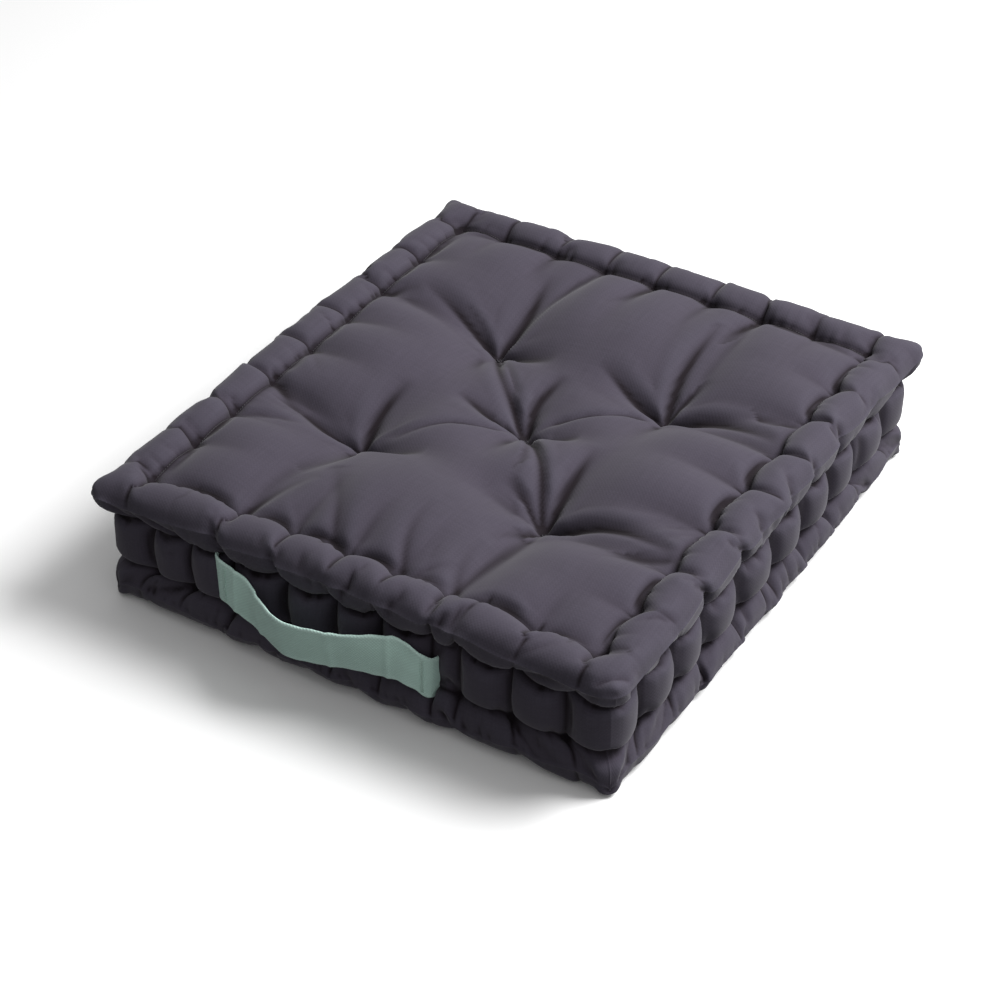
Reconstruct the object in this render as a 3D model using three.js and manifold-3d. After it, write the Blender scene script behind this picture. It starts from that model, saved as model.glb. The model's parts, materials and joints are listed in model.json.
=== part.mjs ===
// Mattress-style floor cushion: a boxed cotton cover stuffed with wadding, tufted right through with five cords,
// with a hand-rolled edge round the top and the bottom and a webbing handle sewn to the front side.
// Millimetres, +Z up. The origin is on the floor, at the middle of the footprint with the handle included.
import * as THREE from "three";
import { mergeVertices } from "three/addons/utils/BufferGeometryUtils.js";
import Module from "manifold-3d";

const wasm = await Module();
wasm.setup();

// Driving dimensions of the cover.
const LENGTH = 450; // along X, the side that carries the handle
const WIDTH = 500; // along Y
const SEAM_SPAN = 82; // height between the seams that join the top and bottom panels to the borders
const ROLL_HALF_WIDTH = 19; // of the rolled edges; the seams lie along their outermost line
const ROLL_OVER_SEAM = 13; // how far a roll rises from its seam towards the face
const ROLL_UNDER_SEAM = 20; // how far it reaches from its seam down the side
const CROWN_RISE = 5; // how far the top panel stands above the top rolls
const BASE_DROP = 1; // how far the bottom panel's flat hangs below the bottom rolls, so that it carries the weight
const TOP_SHOULDER = 40; // how far in from its groove the top panel reaches full height
const BOTTOM_SHOULDER = 20; // the same under the cushion, where the floor flattens it
const CLOTH = 1; // thickness of the cotton cover, turned seams included
const GAP = 0.3; // clearance between two pieces that touch

// The stitched grooves beside the rolls.
const GROOVE_FLOOR = 3; // width of a groove's floor
const FACE_GROOVE_LIFT = 4; // how far the groove on the top or bottom lies from the seam's level
const SIDE_GROOVE_DEPTH = 14; // how far in from the rolls' outermost line the side groove lies
const BORDER_INSET = 5; // how far in the flat of the side borders lies
const BORDER_SHOULDER = 8; // height over which a border curves out of its groove
const THREAD_RADIUS = 0.6; // waxed twine that holds the rolled edges

// The five tufts, placed by eye, measured from the middle of the cushion.
const TUFTS = [
  { name: "centre", x: 0, y: 3 },
  { name: "front_left", x: -98, y: -76 },
  { name: "front_right", x: 73, y: -92 },
  { name: "back_right", x: 82, y: 76 },
  { name: "back_left", x: -77, y: 89 },
];
const TUFT_MOUTH = 26; // radius of a tuft's dimple at the face
const TOP_TUFT_DEPTH = 32;
const BOTTOM_TUFT_DEPTH = 20;
const CORD_RADIUS = 0.8;
const KNOT_RADIUS = 2.4;
const KNOT_HEIGHT = 2;

// The webbing handle on the front side.
const HANDLE_WIDTH = 40; // of the webbing, upright
const HANDLE_THICKNESS = 2;
const HANDLE_SPAN = 177; // between the two places where the webbing leaves the border
const HANDLE_REACH = 36; // from the border's flat to the webbing's outer face
const HANDLE_X = -18; // middle of the handle along the front side
const HANDLE_Z = 52; // height of its middle, which is also the height of its swing axis
const HANDLE_SEWN = 10; // length of webbing sewn flat to the border at each end
const SWING_START = 20; // how far off the border the webbing starts to swing as one piece
const BOW_POWER = 3; // how square the bow of the webbing is
const TACK_LENGTH = 3; // a bar tack's size along the webbing
const TACK_MARGIN = 3; // from the tack to the webbing's edges

// Derived places.
const BOTTOM_SEAM = ROLL_OVER_SEAM + BASE_DROP;
const TOP_SEAM = BOTTOM_SEAM + SEAM_SPAN;
const TOP_HEIGHT = TOP_SEAM + ROLL_OVER_SEAM + CROWN_RISE;
const CUSHION_Y = (HANDLE_REACH - BORDER_INSET) / 2; // middle of the cushion, behind the footprint's middle
const INNER = CLOTH + GAP; // depth of the wadding's surface under the cover's
const FACE_GROOVE = ROLL_HALF_WIDTH * (1 + Math.sqrt(1 - (FACE_GROOVE_LIFT / ROLL_OVER_SEAM) ** 2));
const CROWN_START = FACE_GROOVE + GROOVE_FLOOR;
const SIDE_GROOVE_DROP = ROLL_UNDER_SEAM * Math.sqrt(1 - (1 - SIDE_GROOVE_DEPTH / ROLL_HALF_WIDTH) ** 2);
const SHOULDER_DROP = SIDE_GROOVE_DROP + GROOVE_FLOOR + BORDER_SHOULDER; // from a seam to a border shoulder's centre
const SIDES = [
  { name: "front", length: LENGTH, depth: WIDTH, turn: 0 },
  { name: "right", length: WIDTH, depth: LENGTH, turn: Math.PI / 2 },
  { name: "back", length: LENGTH, depth: WIDTH, turn: Math.PI },
  { name: "left", length: WIDTH, depth: LENGTH, turn: -Math.PI / 2 },
];
// A face's heights are measured from its seam, outwards.
const FACES = {
  top: { seam: TOP_SEAM, out: 1, rise: TOP_HEIGHT - TOP_SEAM, shoulder: TOP_SHOULDER, dimple: TOP_TUFT_DEPTH },
  bottom: { seam: BOTTOM_SEAM, out: -1, rise: BOTTOM_SEAM, shoulder: BOTTOM_SHOULDER, dimple: BOTTOM_TUFT_DEPTH },
};
const ARC_STEP = Math.PI / 12;
const LATHE_SIDES = 16;

const cotton = new THREE.MeshStandardMaterial({ color: 0x5d5965, roughness: 0.95, metalness: 0 });
const lining = new THREE.MeshStandardMaterial({ color: 0xd8d2c4, roughness: 1, metalness: 0 });
const twine = new THREE.MeshStandardMaterial({ color: 0x3f3b46, roughness: 0.8, metalness: 0 });
const webbing = new THREE.MeshStandardMaterial({ color: 0x86a198, roughness: 0.9, metalness: 0 });

// A mesh's named node.
function node(name, geometry, material) {
  const mesh = new THREE.Mesh(geometry, material);
  mesh.name = name;
  return mesh;
}

// Triangles on shared points as a geometry whose faces point out.
function closedGeometry(points, triangles) {
  const p = points.map((v) => new THREE.Vector3(...v));
  const volume = triangles.reduce((sum, [a, b, c]) => sum + p[a].dot(p[b].clone().cross(p[c])), 0);
  const facing = volume > 0 ? triangles : triangles.map(([a, b, c]) => [a, c, b]);
  const geometry = new THREE.BufferGeometry();
  geometry.setAttribute("position", new THREE.Float32BufferAttribute(points.flat(), 3));
  geometry.setIndex(facing.flat());
  return geometry;
}

// A geometry as a manifold-3d solid, and back.
function solid(geometry) {
  const bare = geometry.clone();
  bare.deleteAttribute("normal");
  bare.deleteAttribute("uv");
  const merged = mergeVertices(bare, 1e-4);
  const vertProperties = merged.attributes.position.array;
  return new wasm.Manifold(new wasm.Mesh({ numProp: 3, vertProperties, triVerts: new Uint32Array(merged.index.array) }));
}
function geometryOf(shape) {
  const { vertProperties, triVerts } = shape.getMesh();
  const geometry = new THREE.BufferGeometry();
  geometry.setAttribute("position", new THREE.BufferAttribute(new Float32Array(vertProperties), 3));
  geometry.setIndex(new THREE.BufferAttribute(new Uint32Array(triVerts), 1));
  return geometry;
}

// Points on an elliptical arc in a section: [inset from the side's outermost line, height].
function arc(inset, height, radiusIn, radiusUp, from, to) {
  const steps = Math.max(2, Math.ceil(Math.abs(to - from) / ARC_STEP));
  return Array.from({ length: steps + 1 }, (_, i) => {
    const a = from + ((to - from) * i) / steps;
    return [inset + radiusIn * Math.cos(a), height + radiusUp * Math.sin(a)];
  });
}

// From the face's groove to the edge of its flat, at a depth under the cover's surface.
function crownSkin(face, depth) {
  const middle = CROWN_START + face.shoulder;
  return [
    [CROWN_START + depth, FACE_GROOVE_LIFT - depth],
    ...arc(middle, FACE_GROOVE_LIFT, face.shoulder - depth, face.rise - FACE_GROOVE_LIFT - depth, Math.PI, Math.PI / 2),
  ];
}

// A face panel's surface from a small angle above its seam, over the roll, down into the groove and up to the flat.
function panelSkin(face, depth, start) {
  const across = ROLL_HALF_WIDTH - depth;
  const up = ROLL_OVER_SEAM - depth;
  const groove = Math.asin((FACE_GROOVE_LIFT - depth) / up);
  return [...arc(ROLL_HALF_WIDTH, 0, across, up, Math.PI - start / up, groove), ...crownSkin(face, depth)];
}

// Half of a border's surface, from a small angle under its seam round the roll to the side's flat.
function borderHalf(depth, start) {
  const across = ROLL_HALF_WIDTH - depth;
  const down = ROLL_UNDER_SEAM - depth;
  const groove = -Math.acos((SIDE_GROOVE_DEPTH + depth - ROLL_HALF_WIDTH) / across);
  const reach = SIDE_GROOVE_DEPTH - BORDER_INSET;
  return [
    ...arc(ROLL_HALF_WIDTH, 0, across, down, -Math.PI + start / down, groove),
    [SIDE_GROOVE_DEPTH + depth, BORDER_SHOULDER - SHOULDER_DROP - depth],
    ...arc(SIDE_GROOVE_DEPTH, -SHOULDER_DROP, reach - depth, BORDER_SHOULDER - depth, Math.PI / 2, Math.PI),
  ];
}

// Heights measured from a face's seam become heights above the floor.
function raised(face, points) {
  return points.map(([inset, height]) => [inset, face.seam + face.out * height]);
}

// A solid of nested rectangles: each section point makes one, and the first and last are filled in.
function rectangleLoft(section) {
  const corners = [[-1, -1], [1, -1], [1, 1], [-1, 1]];
  const points = section.flatMap(([inset, height]) =>
    corners.map(([x, y]) => [x * (LENGTH / 2 - inset), y * (WIDTH / 2 - inset), height]));
  const triangles = [];
  for (let ring = 0; ring + 1 < section.length; ring++)
    for (let k = 0; k < 4; k++) {
      const a = 4 * ring + k;
      const b = 4 * ring + ((k + 1) % 4);
      triangles.push([a, b, b + 4], [a, b + 4, a + 4]);
    }
  const last = points.length - 4;
  triangles.push([0, 2, 1], [0, 3, 2], [last, last + 1, last + 2], [last, last + 2, last + 3]);
  return closedGeometry(points, triangles);
}

// A bar along one side with this section, mitred to meet its neighbours at the corners.
function mitredBar(section, side) {
  const n = section.length;
  const points = [-1, 1].flatMap((end) =>
    section.map(([inset, height]) => [end * (side.length / 2 - inset - GAP), inset - side.depth / 2, height]));
  const triangles = [];
  for (let i = 0; i < n; i++) {
    const j = (i + 1) % n;
    triangles.push([i, j, j + n], [i, j + n, i + n]);
  }
  const outline = section.map(([x, y]) => new THREE.Vector2(x, y));
  for (const [a, b, c] of THREE.ShapeUtils.triangulateShape(outline, []))
    triangles.push([a, c, b], [a + n, b + n, c + n]);
  return closedGeometry(points, triangles);
}

// A turned solid about an upright line, from [radius, height] points.
function turned(profile, x, y) {
  const outline = profile.map(([r, z]) => new THREE.Vector2(r, z));
  return new THREE.LatheGeometry(outline, LATHE_SIDES).rotateX(Math.PI / 2).translate(x, y, 0);
}

// The dimple that a tuft pulls into a face: radius at the mouth and at the throat, where the cord goes through.
function dimple(face) {
  const mouth = face.seam + face.out * face.rise;
  return { mouth, throat: mouth - face.out * face.dimple, out: face.out };
}
const CORD_HOLE = CORD_RADIUS + GAP;
const CONE_SLOPE_GAP = 1.5; // extra radius that keeps a wall's thickness on the cone's slope

// The cone that a dimple takes out of a solid, widened by a depth under the cover's surface.
function dimpleCut(face, tuft, depth) {
  const { mouth, throat, out } = dimple(face);
  const spread = depth * CONE_SLOPE_GAP;
  const beyond = mouth + out * 5;
  const rate = (TUFT_MOUTH - KNOT_RADIUS) / face.dimple;
  const profile = [
    [0, throat - out * depth],
    [KNOT_RADIUS + spread, throat - out * depth],
    [TUFT_MOUTH + spread + rate * 5, beyond],
    [0, beyond],
  ];
  return turned(out > 0 ? profile : profile.reverse(), tuft.x, tuft.y);
}

// An upright round hole for a cord.
function cordHole(tuft, radius) {
  return turned([[0, -1], [radius, -1], [radius, TOP_HEIGHT + 1], [0, TOP_HEIGHT + 1]], tuft.x, tuft.y);
}

// A top or bottom panel: one sheet from seam to seam, drawn into a dimple at each tuft.
function facePanel(face) {
  const section = [...panelSkin(face, CLOTH, GAP / 2).reverse(), ...panelSkin(face, 0, GAP / 2)];
  const rim = face.seam + face.out * face.rise;
  let panel = solid(rectangleLoft(raised(face, section)));
  const level = new THREE.BoxGeometry(LENGTH, WIDTH, 2 * face.dimple).translate(0, 0, rim - face.out * face.dimple);
  for (const tuft of TUFTS) {
    const hollow = solid(dimpleCut(face, tuft, 0));
    const wall = solid(dimpleCut(face, tuft, CLOTH)).intersect(solid(level));
    panel = panel.add(wall).subtract(hollow).subtract(solid(cordHole(tuft, CORD_HOLE)));
  }
  return geometryOf(panel);
}

// One side's border, from the top seam to the bottom seam.
function borderSection() {
  const skin = (depth) => {
    const half = borderHalf(depth, GAP / 2);
    return [...raised(FACES.top, half), ...raised(FACES.bottom, half).reverse()];
  };
  return [...skin(0), ...skin(CLOTH).reverse()];
}

// The wadding: it fills the cover and its rolls, is drawn in at the tufts and is pierced by their cords.
function wadding() {
  const half = (face) => [...borderHalf(INNER, 0).reverse().slice(0, -1), ...panelSkin(face, INNER, 0)];
  const outline = [...raised(FACES.bottom, half(FACES.bottom)).reverse(), ...raised(FACES.top, half(FACES.top))];
  let filling = solid(rectangleLoft(outline));
  for (const tuft of TUFTS) {
    for (const face of [FACES.top, FACES.bottom]) filling = filling.subtract(solid(dimpleCut(face, tuft, INNER)));
    filling = filling.subtract(solid(cordHole(tuft, CORD_HOLE)));
  }
  return geometryOf(filling);
}

// The twine that runs along a groove and holds the roll.
function threadSection(face) {
  const height = face.seam + face.out * (FACE_GROOVE_LIFT + GAP + THREAD_RADIUS);
  return arc(FACE_GROOVE + GROOVE_FLOOR / 2, height, THREAD_RADIUS, THREAD_RADIUS, 0, 2 * Math.PI)
    .slice(1)
    .filter((_, i) => i % 3 === 0);
}

// A tufting cord, tied with a knot in the top dimple and another in the bottom one.
function tuftCord(tuft) {
  const low = dimple(FACES.bottom).throat - GAP;
  const high = dimple(FACES.top).throat + GAP;
  const knot = KNOT_RADIUS - GAP;
  return turned(
    [[0, low - KNOT_HEIGHT], [knot, low - KNOT_HEIGHT], [knot, low], [CORD_RADIUS, low],
      [CORD_RADIUS, high], [knot, high], [knot, high + KNOT_HEIGHT], [0, high + KNOT_HEIGHT]],
    tuft.x, tuft.y);
}

// How far the webbing's middle line stands off the border at a place along the handle.
function bow(u) {
  const reach = HANDLE_REACH - HANDLE_THICKNESS / 2;
  const root = GAP + HANDLE_THICKNESS / 2;
  return root + (reach - root) * (1 - Math.abs((2 * u) / HANDLE_SPAN) ** BOW_POWER);
}

// A strip of upright webbing whose middle line passes through [along, off the border] points, cut square at its ends.
function webbingStrip(line) {
  const half = HANDLE_THICKNESS / 2;
  const edge = (side) => line.map(([u, off], i) => {
    const [u0, off0] = line[Math.max(0, i - 1)];
    const [u1, off1] = line[Math.min(line.length - 1, i + 1)];
    const size = Math.hypot(u1 - u0, off1 - off0);
    const end = i === 0 || i === line.length - 1;
    const along = end ? u : u - (side * half * (off1 - off0)) / size;
    const lift = end ? (half * size) / (u1 - u0) : (half * (u1 - u0)) / size;
    return new THREE.Vector2(HANDLE_X + along, -(off + side * lift));
  });
  const outline = new THREE.Shape([...edge(1), ...edge(-1).reverse()]);
  return new THREE.ExtrudeGeometry(outline, { depth: HANDLE_WIDTH, bevelEnabled: false })
    .translate(0, BORDER_INSET - WIDTH / 2, HANDLE_Z - HANDLE_WIDTH / 2);
}

// Where along the handle the swinging part begins.
function swingEnd() {
  const reach = HANDLE_REACH - HANDLE_THICKNESS / 2;
  const root = GAP + HANDLE_THICKNESS / 2;
  return (HANDLE_SPAN / 2) * (1 - (SWING_START - root) / (reach - root)) ** (1 / BOW_POWER);
}

// The part of the webbing that swings.
function handleStrap() {
  const end = swingEnd() - GAP / 2;
  const steps = 24;
  return webbingStrip(Array.from({ length: steps + 1 }, (_, i) => {
    const u = end * ((2 * i) / steps - 1);
    return [u, bow(u)];
  }));
}

// An end of the webbing, from its sewn-down flat to where it swings free.
function handleTab(end) {
  const start = swingEnd() + GAP / 2;
  const steps = 5;
  const curve = Array.from({ length: steps + 1 }, (_, i) => {
    const u = HANDLE_SPAN / 2 + ((start - HANDLE_SPAN / 2) * i) / steps;
    return [u, bow(u)];
  });
  const line = [[HANDLE_SPAN / 2 + HANDLE_SEWN, bow(HANDLE_SPAN / 2)], ...curve];
  return webbingStrip(end > 0 ? line.reverse() : line.map(([u, off]) => [-u, off]));
}

// A bar tack over the sewn-down end of the webbing.
function handleTack(end) {
  const lift = 2 * GAP + HANDLE_THICKNESS + THREAD_RADIUS / 2;
  return new THREE.BoxGeometry(TACK_LENGTH, THREAD_RADIUS, HANDLE_WIDTH - 2 * TACK_MARGIN).translate(
    HANDLE_X + end * (HANDLE_SPAN / 2 + HANDLE_SEWN - TACK_MARGIN),
    BORDER_INSET - WIDTH / 2 - lift,
    HANDLE_Z);
}

function addSides(cushion) {
  for (const side of SIDES) {
    const place = new THREE.Group();
    place.rotation.z = side.turn;
    place.add(node(`border_${side.name}`, mitredBar(borderSection(), side), cotton));
    for (const [level, face] of Object.entries(FACES)) {
      place.add(node(`edge_twine_${level}_${side.name}`, mitredBar(threadSection(face), side), twine));
    }
    cushion.add(place);
  }
}

function addHandle(cushion) {
  cushion.add(node("handle_strap", handleStrap(), webbing));
  for (const [name, end] of [["left", -1], ["right", 1]]) {
    cushion.add(node(`handle_tab_${name}`, handleTab(end), webbing));
    cushion.add(node(`handle_tack_${name}`, handleTack(end), twine));
  }
}

const cushion = new THREE.Group();
cushion.position.y = CUSHION_Y;
cushion.add(node("top_panel", facePanel(FACES.top), cotton));
cushion.add(node("bottom_panel", facePanel(FACES.bottom), cotton));
cushion.add(node("wadding", wadding(), lining));
for (const tuft of TUFTS) cushion.add(node(`tuft_cord_${tuft.name}`, tuftCord(tuft), twine));
addSides(cushion);
addHandle(cushion);

const part = new THREE.Group();
part.add(cushion);
export default part;
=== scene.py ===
"""Tufted floor cushion with hand-rolled edges and a webbing carry handle, dressed round its CAD frame.

The cover is cut flat as a box, gathered at the places where the upholsterer's twine pulls it in, and blown up
by a cloth simulation. Creases too narrow for the simulation are then pressed into the cloth. Lengths inside
the classes are millimetres measured from the middle of the cushion, with z up from the floor. They become
metres in the CAD frame only when a piece is made.
"""

import json
import logging
import math
from dataclasses import dataclass, field
from enum import Enum

import bpy
import numpy as np
from mathutils import Matrix, Vector

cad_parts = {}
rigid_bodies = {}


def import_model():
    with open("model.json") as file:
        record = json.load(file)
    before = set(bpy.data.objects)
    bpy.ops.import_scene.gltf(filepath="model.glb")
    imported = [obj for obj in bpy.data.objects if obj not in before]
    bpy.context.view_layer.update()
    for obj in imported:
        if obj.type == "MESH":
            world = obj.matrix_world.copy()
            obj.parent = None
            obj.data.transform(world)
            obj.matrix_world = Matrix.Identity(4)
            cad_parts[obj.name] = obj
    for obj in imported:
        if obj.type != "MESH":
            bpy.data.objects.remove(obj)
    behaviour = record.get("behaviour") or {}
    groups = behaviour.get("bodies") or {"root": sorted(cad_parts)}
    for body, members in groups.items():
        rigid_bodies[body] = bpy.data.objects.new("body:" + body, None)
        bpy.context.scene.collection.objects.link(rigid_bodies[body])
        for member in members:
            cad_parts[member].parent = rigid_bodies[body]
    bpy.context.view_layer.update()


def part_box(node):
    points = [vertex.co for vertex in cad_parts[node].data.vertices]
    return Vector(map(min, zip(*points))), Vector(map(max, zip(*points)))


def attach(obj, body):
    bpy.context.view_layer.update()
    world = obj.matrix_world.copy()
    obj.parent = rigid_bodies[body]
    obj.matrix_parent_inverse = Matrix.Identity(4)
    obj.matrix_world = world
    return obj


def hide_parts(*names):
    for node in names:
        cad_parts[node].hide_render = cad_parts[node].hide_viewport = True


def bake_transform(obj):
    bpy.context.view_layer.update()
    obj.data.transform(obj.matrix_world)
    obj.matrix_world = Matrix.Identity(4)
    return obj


for leftover in list(bpy.data.objects):
    bpy.data.objects.remove(leftover, do_unlink=True)
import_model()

Array = np.ndarray
Point = tuple[float, float]
MM = 1000.0
RELAX_KEPT, RELAX_MOVED = 0.4, 0.6
log = logging.getLogger("cushion")


# ---------------------------------------------------------------------------------- names and sizes


class Side(Enum):
    """One of the four sides of the cushion, named as seen by someone facing the handle."""

    FRONT = "front"
    RIGHT = "right"
    BACK = "back"
    LEFT = "left"


class Panel(Enum):
    """One cut piece of the cover, with the number that marks its faces in the sewn mesh."""

    TOP = 0
    BOTTOM = 1
    FRONT = 2
    RIGHT = 3
    BACK = 4
    LEFT = 5


@dataclass(frozen=True)
class CushionSizes:
    """The cushion's own sizes, read from the CAD frame."""

    half_x: float
    half_y: float
    top_seam: float
    bottom_seam: float
    middle_x: float
    middle_y: float

    @classmethod
    def from_frame(cls) -> "CushionSizes":
        """Measures the CAD panels.

        Returns:
            The sizes in millimetres.
        """
        low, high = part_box("top_panel")
        border_low, border_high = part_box("border_front")
        play = 0.2
        return cls(
            half_x=(high.x - low.x) * MM / 2,
            half_y=(high.y - low.y) * MM / 2,
            top_seam=border_high.z * MM + play,
            bottom_seam=border_low.z * MM - play,
            middle_x=(high.x + low.x) * MM / 2,
            middle_y=(high.y + low.y) * MM / 2,
        )

    def to_frame(self, points: Array) -> Array:
        """Moves points from the cushion's middle to the CAD frame.

        Args:
            points: Rows of x, y, z in millimetres.

        Returns:
            Rows of x, y, z in metres.
        """
        return (np.asarray(points, float) + (self.middle_x, self.middle_y, 0.0)) / MM


# ------------------------------------------------------------------------------------ small helpers


def hex_to_linear(code: str) -> tuple[float, float, float, float]:
    """Turns an sRGB hex colour into linear light.

    Args:
        code: Six hex digits with a leading hash.

    Returns:
        Red, green, blue and an alpha of one.
    """
    parts = [int(code[i : i + 2], 16) / 255 for i in (1, 3, 5)]
    red, green, blue = (c / 12.92 if c <= 0.04045 else ((c + 0.055) / 1.055) ** 2.4 for c in parts)
    return (red, green, blue, 1.0)


def add_node(
    tree: bpy.types.NodeTree, kind: str, inputs: dict | None = None, **settings: object
) -> bpy.types.Node:
    """Adds one node with its settings and links.

    Args:
        tree: The tree that gets the node.
        kind: Blender's name of the node type.
        inputs: Input name or number to a value, or to the output socket that feeds it.
        **settings: Properties of the node itself.

    Returns:
        The new node.
    """
    node = tree.nodes.new(kind)
    for name, value in settings.items():
        setattr(node, name, value)
    for key, value in (inputs or {}).items():
        if isinstance(value, bpy.types.NodeSocket):
            tree.links.new(value, node.inputs[key])
        else:
            node.inputs[key].default_value = value
    return node


def new_material(name: str) -> tuple[bpy.types.Material, bpy.types.NodeTree]:
    """Makes a material with an empty node tree.

    Args:
        name: Name of the material.

    Returns:
        The material and its tree.
    """
    material = bpy.data.materials.new(name)
    material.use_nodes = True
    material.node_tree.nodes.clear()
    return material, material.node_tree


def nearest(values: Array, wanted: float) -> int:
    """Index of the value closest to the wanted one."""
    return int(np.argmin(np.abs(values - wanted)))


def smooth_path(points: Array, steps: int) -> Array:
    """Runs a Catmull-Rom curve through points.

    Args:
        points: Rows of coordinates.
        steps: Number of pieces between two neighbouring points.

    Returns:
        Rows of the finer path, with both ends kept.
    """
    pts = np.asarray(points, float)
    padded = np.vstack([2 * pts[0] - pts[1], pts, 2 * pts[-1] - pts[-2]])
    out = []
    for a, b, c, d in zip(padded, padded[1:], padded[2:], padded[3:]):
        for t in np.arange(steps) / steps:
            square, cube = 2 * a - 5 * b + 4 * c - d, 3 * b - a - 3 * c + d
            out.append(0.5 * (2 * b + (c - a) * t + square * t**2 + cube * t**3))
    return np.vstack([*out, pts[-1]])


def along_path(points: Array, path: Array) -> tuple[Array, Array]:
    """Finds how far points lie from a path, and how far along it.

    Args:
        points: Rows of coordinates.
        path: Rows of the path's corners.

    Returns:
        Distance of each point, and its place along the path from 0 to 1.
    """
    best = np.full(len(points), 1e9)
    place = np.zeros(len(points))
    lengths = np.linalg.norm(np.diff(path, axis=0), axis=1)
    total, done = lengths.sum(), 0.0
    for a, b, length in zip(path, path[1:], lengths):
        t = np.clip((points - a) @ (b - a) / length**2, 0, 1)
        gap = np.linalg.norm(points - a - t[:, None] * (b - a), axis=1)
        closer = gap < best
        best[closer] = gap[closer]
        place[closer] = (done + t[closer] * length) / total
        done += length
    return best, np.clip(place, 0, 1)


def vertex_normals(co: Array, quads: Array) -> Array:
    """Unit normals of a quad mesh, weighted by face area.

    Args:
        co: Vertex positions.
        quads: Four vertex numbers a face.

    Returns:
        One unit normal for each vertex.
    """
    corner = co[quads]
    face = np.cross(corner[:, 2] - corner[:, 0], corner[:, 3] - corner[:, 1])
    total = np.zeros_like(co)
    for k in range(4):
        for axis in range(3):
            total[:, axis] += np.bincount(quads[:, k], face[:, axis], len(co))
    return total / np.maximum(np.linalg.norm(total, axis=1), 1e-12)[:, None]


def relax(co: Array, quads: Array, rounds: int) -> Array:
    """Smooths a mesh by moving each vertex part of the way to the middle of its neighbours.

    Args:
        co: Vertex positions.
        quads: Four vertex numbers a face.
        rounds: How often it is done.

    Returns:
        The smoothed positions.
    """
    edges = np.vstack([quads[:, [k, (k + 1) % 4]] for k in range(4)])
    edges = np.unique(np.sort(edges, axis=1), axis=0)
    start, end = np.concatenate([edges[:, 0], edges[:, 1]]), np.concatenate([edges[:, 1], edges[:, 0]])
    count = np.bincount(start, minlength=len(co))[:, None]
    for _ in range(rounds):
        total = np.stack([np.bincount(start, co[end, axis], len(co)) for axis in range(3)], axis=1)
        co = co * RELAX_KEPT + RELAX_MOVED * total / count
    return co


def make_piece(name: str, co: Array, faces: list, material: bpy.types.Material) -> bpy.types.Object:
    """Makes a smooth-shaded mesh object from metres.

    Args:
        name: Name of the piece.
        co: Vertex positions in metres.
        faces: Vertex numbers of each face.
        material: Its finish.

    Returns:
        The object, linked to the scene.
    """
    mesh = bpy.data.meshes.new(name)
    mesh.from_pydata(np.asarray(co).tolist(), [], faces)
    mesh.polygons.foreach_set("use_smooth", np.ones(len(mesh.polygons), bool))
    mesh.materials.append(material)
    mesh.update()
    piece = bpy.data.objects.new(name, mesh)
    bpy.context.scene.collection.objects.link(piece)
    return piece


def tube_rings(path: Array, outline: Array, turns_per_mm: float = 0.0) -> tuple[Array, list]:
    """Sweeps a closed outline along a path, and closes both ends.

    Args:
        path: Rows of the centre line, in millimetres.
        outline: Rows of two numbers, the outline across the path.
        turns_per_mm: Twist of the outline along the path.

    Returns:
        Vertex positions and faces.
    """
    tangent = np.gradient(path, axis=0)
    tangent /= np.linalg.norm(tangent, axis=1)[:, None]
    up = np.array([0.0, 0.0, 1.0]) if abs(tangent[0, 2]) < 0.9 else np.array([1.0, 0.0, 0.0])
    run = np.concatenate([[0], np.cumsum(np.linalg.norm(np.diff(path, axis=0), axis=1))])
    rings, count = [], len(outline)
    for centre, along, length in zip(path, tangent, run):
        side = np.cross(along, up)
        side /= max(np.linalg.norm(side), 1e-9)
        up = np.cross(side, along)
        angle = 2 * math.pi * turns_per_mm * length
        c, s = math.cos(angle), math.sin(angle)
        turned = outline @ np.array([[c, s], [-s, c]])
        rings.append(centre + turned[:, :1] * side + turned[:, 1:] * up)
    faces = [
        (r * count + k, r * count + (k + 1) % count, (r + 1) * count + (k + 1) % count, (r + 1) * count + k)
        for r in range(len(path) - 1)
        for k in range(count)
    ]
    last = (len(path) - 1) * count
    faces += [tuple(range(count))[::-1], tuple(last + k for k in range(count))]
    return np.vstack(rings), faces


def join_shells(shells: list[tuple[Array, list]]) -> tuple[Array, list]:
    """Puts several closed shells in one vertex and face list.

    Args:
        shells: Vertex positions and faces of each shell.

    Returns:
        The positions and faces of all of them.
    """
    co, faces, start = [], [], 0
    for shell_co, shell_faces in shells:
        co.append(shell_co)
        faces += [tuple(start + v for v in f) for f in shell_faces]
        start += len(shell_co)
    return np.vstack(co), faces


# ----------------------------------------------------------------------------------------- finishes


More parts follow.
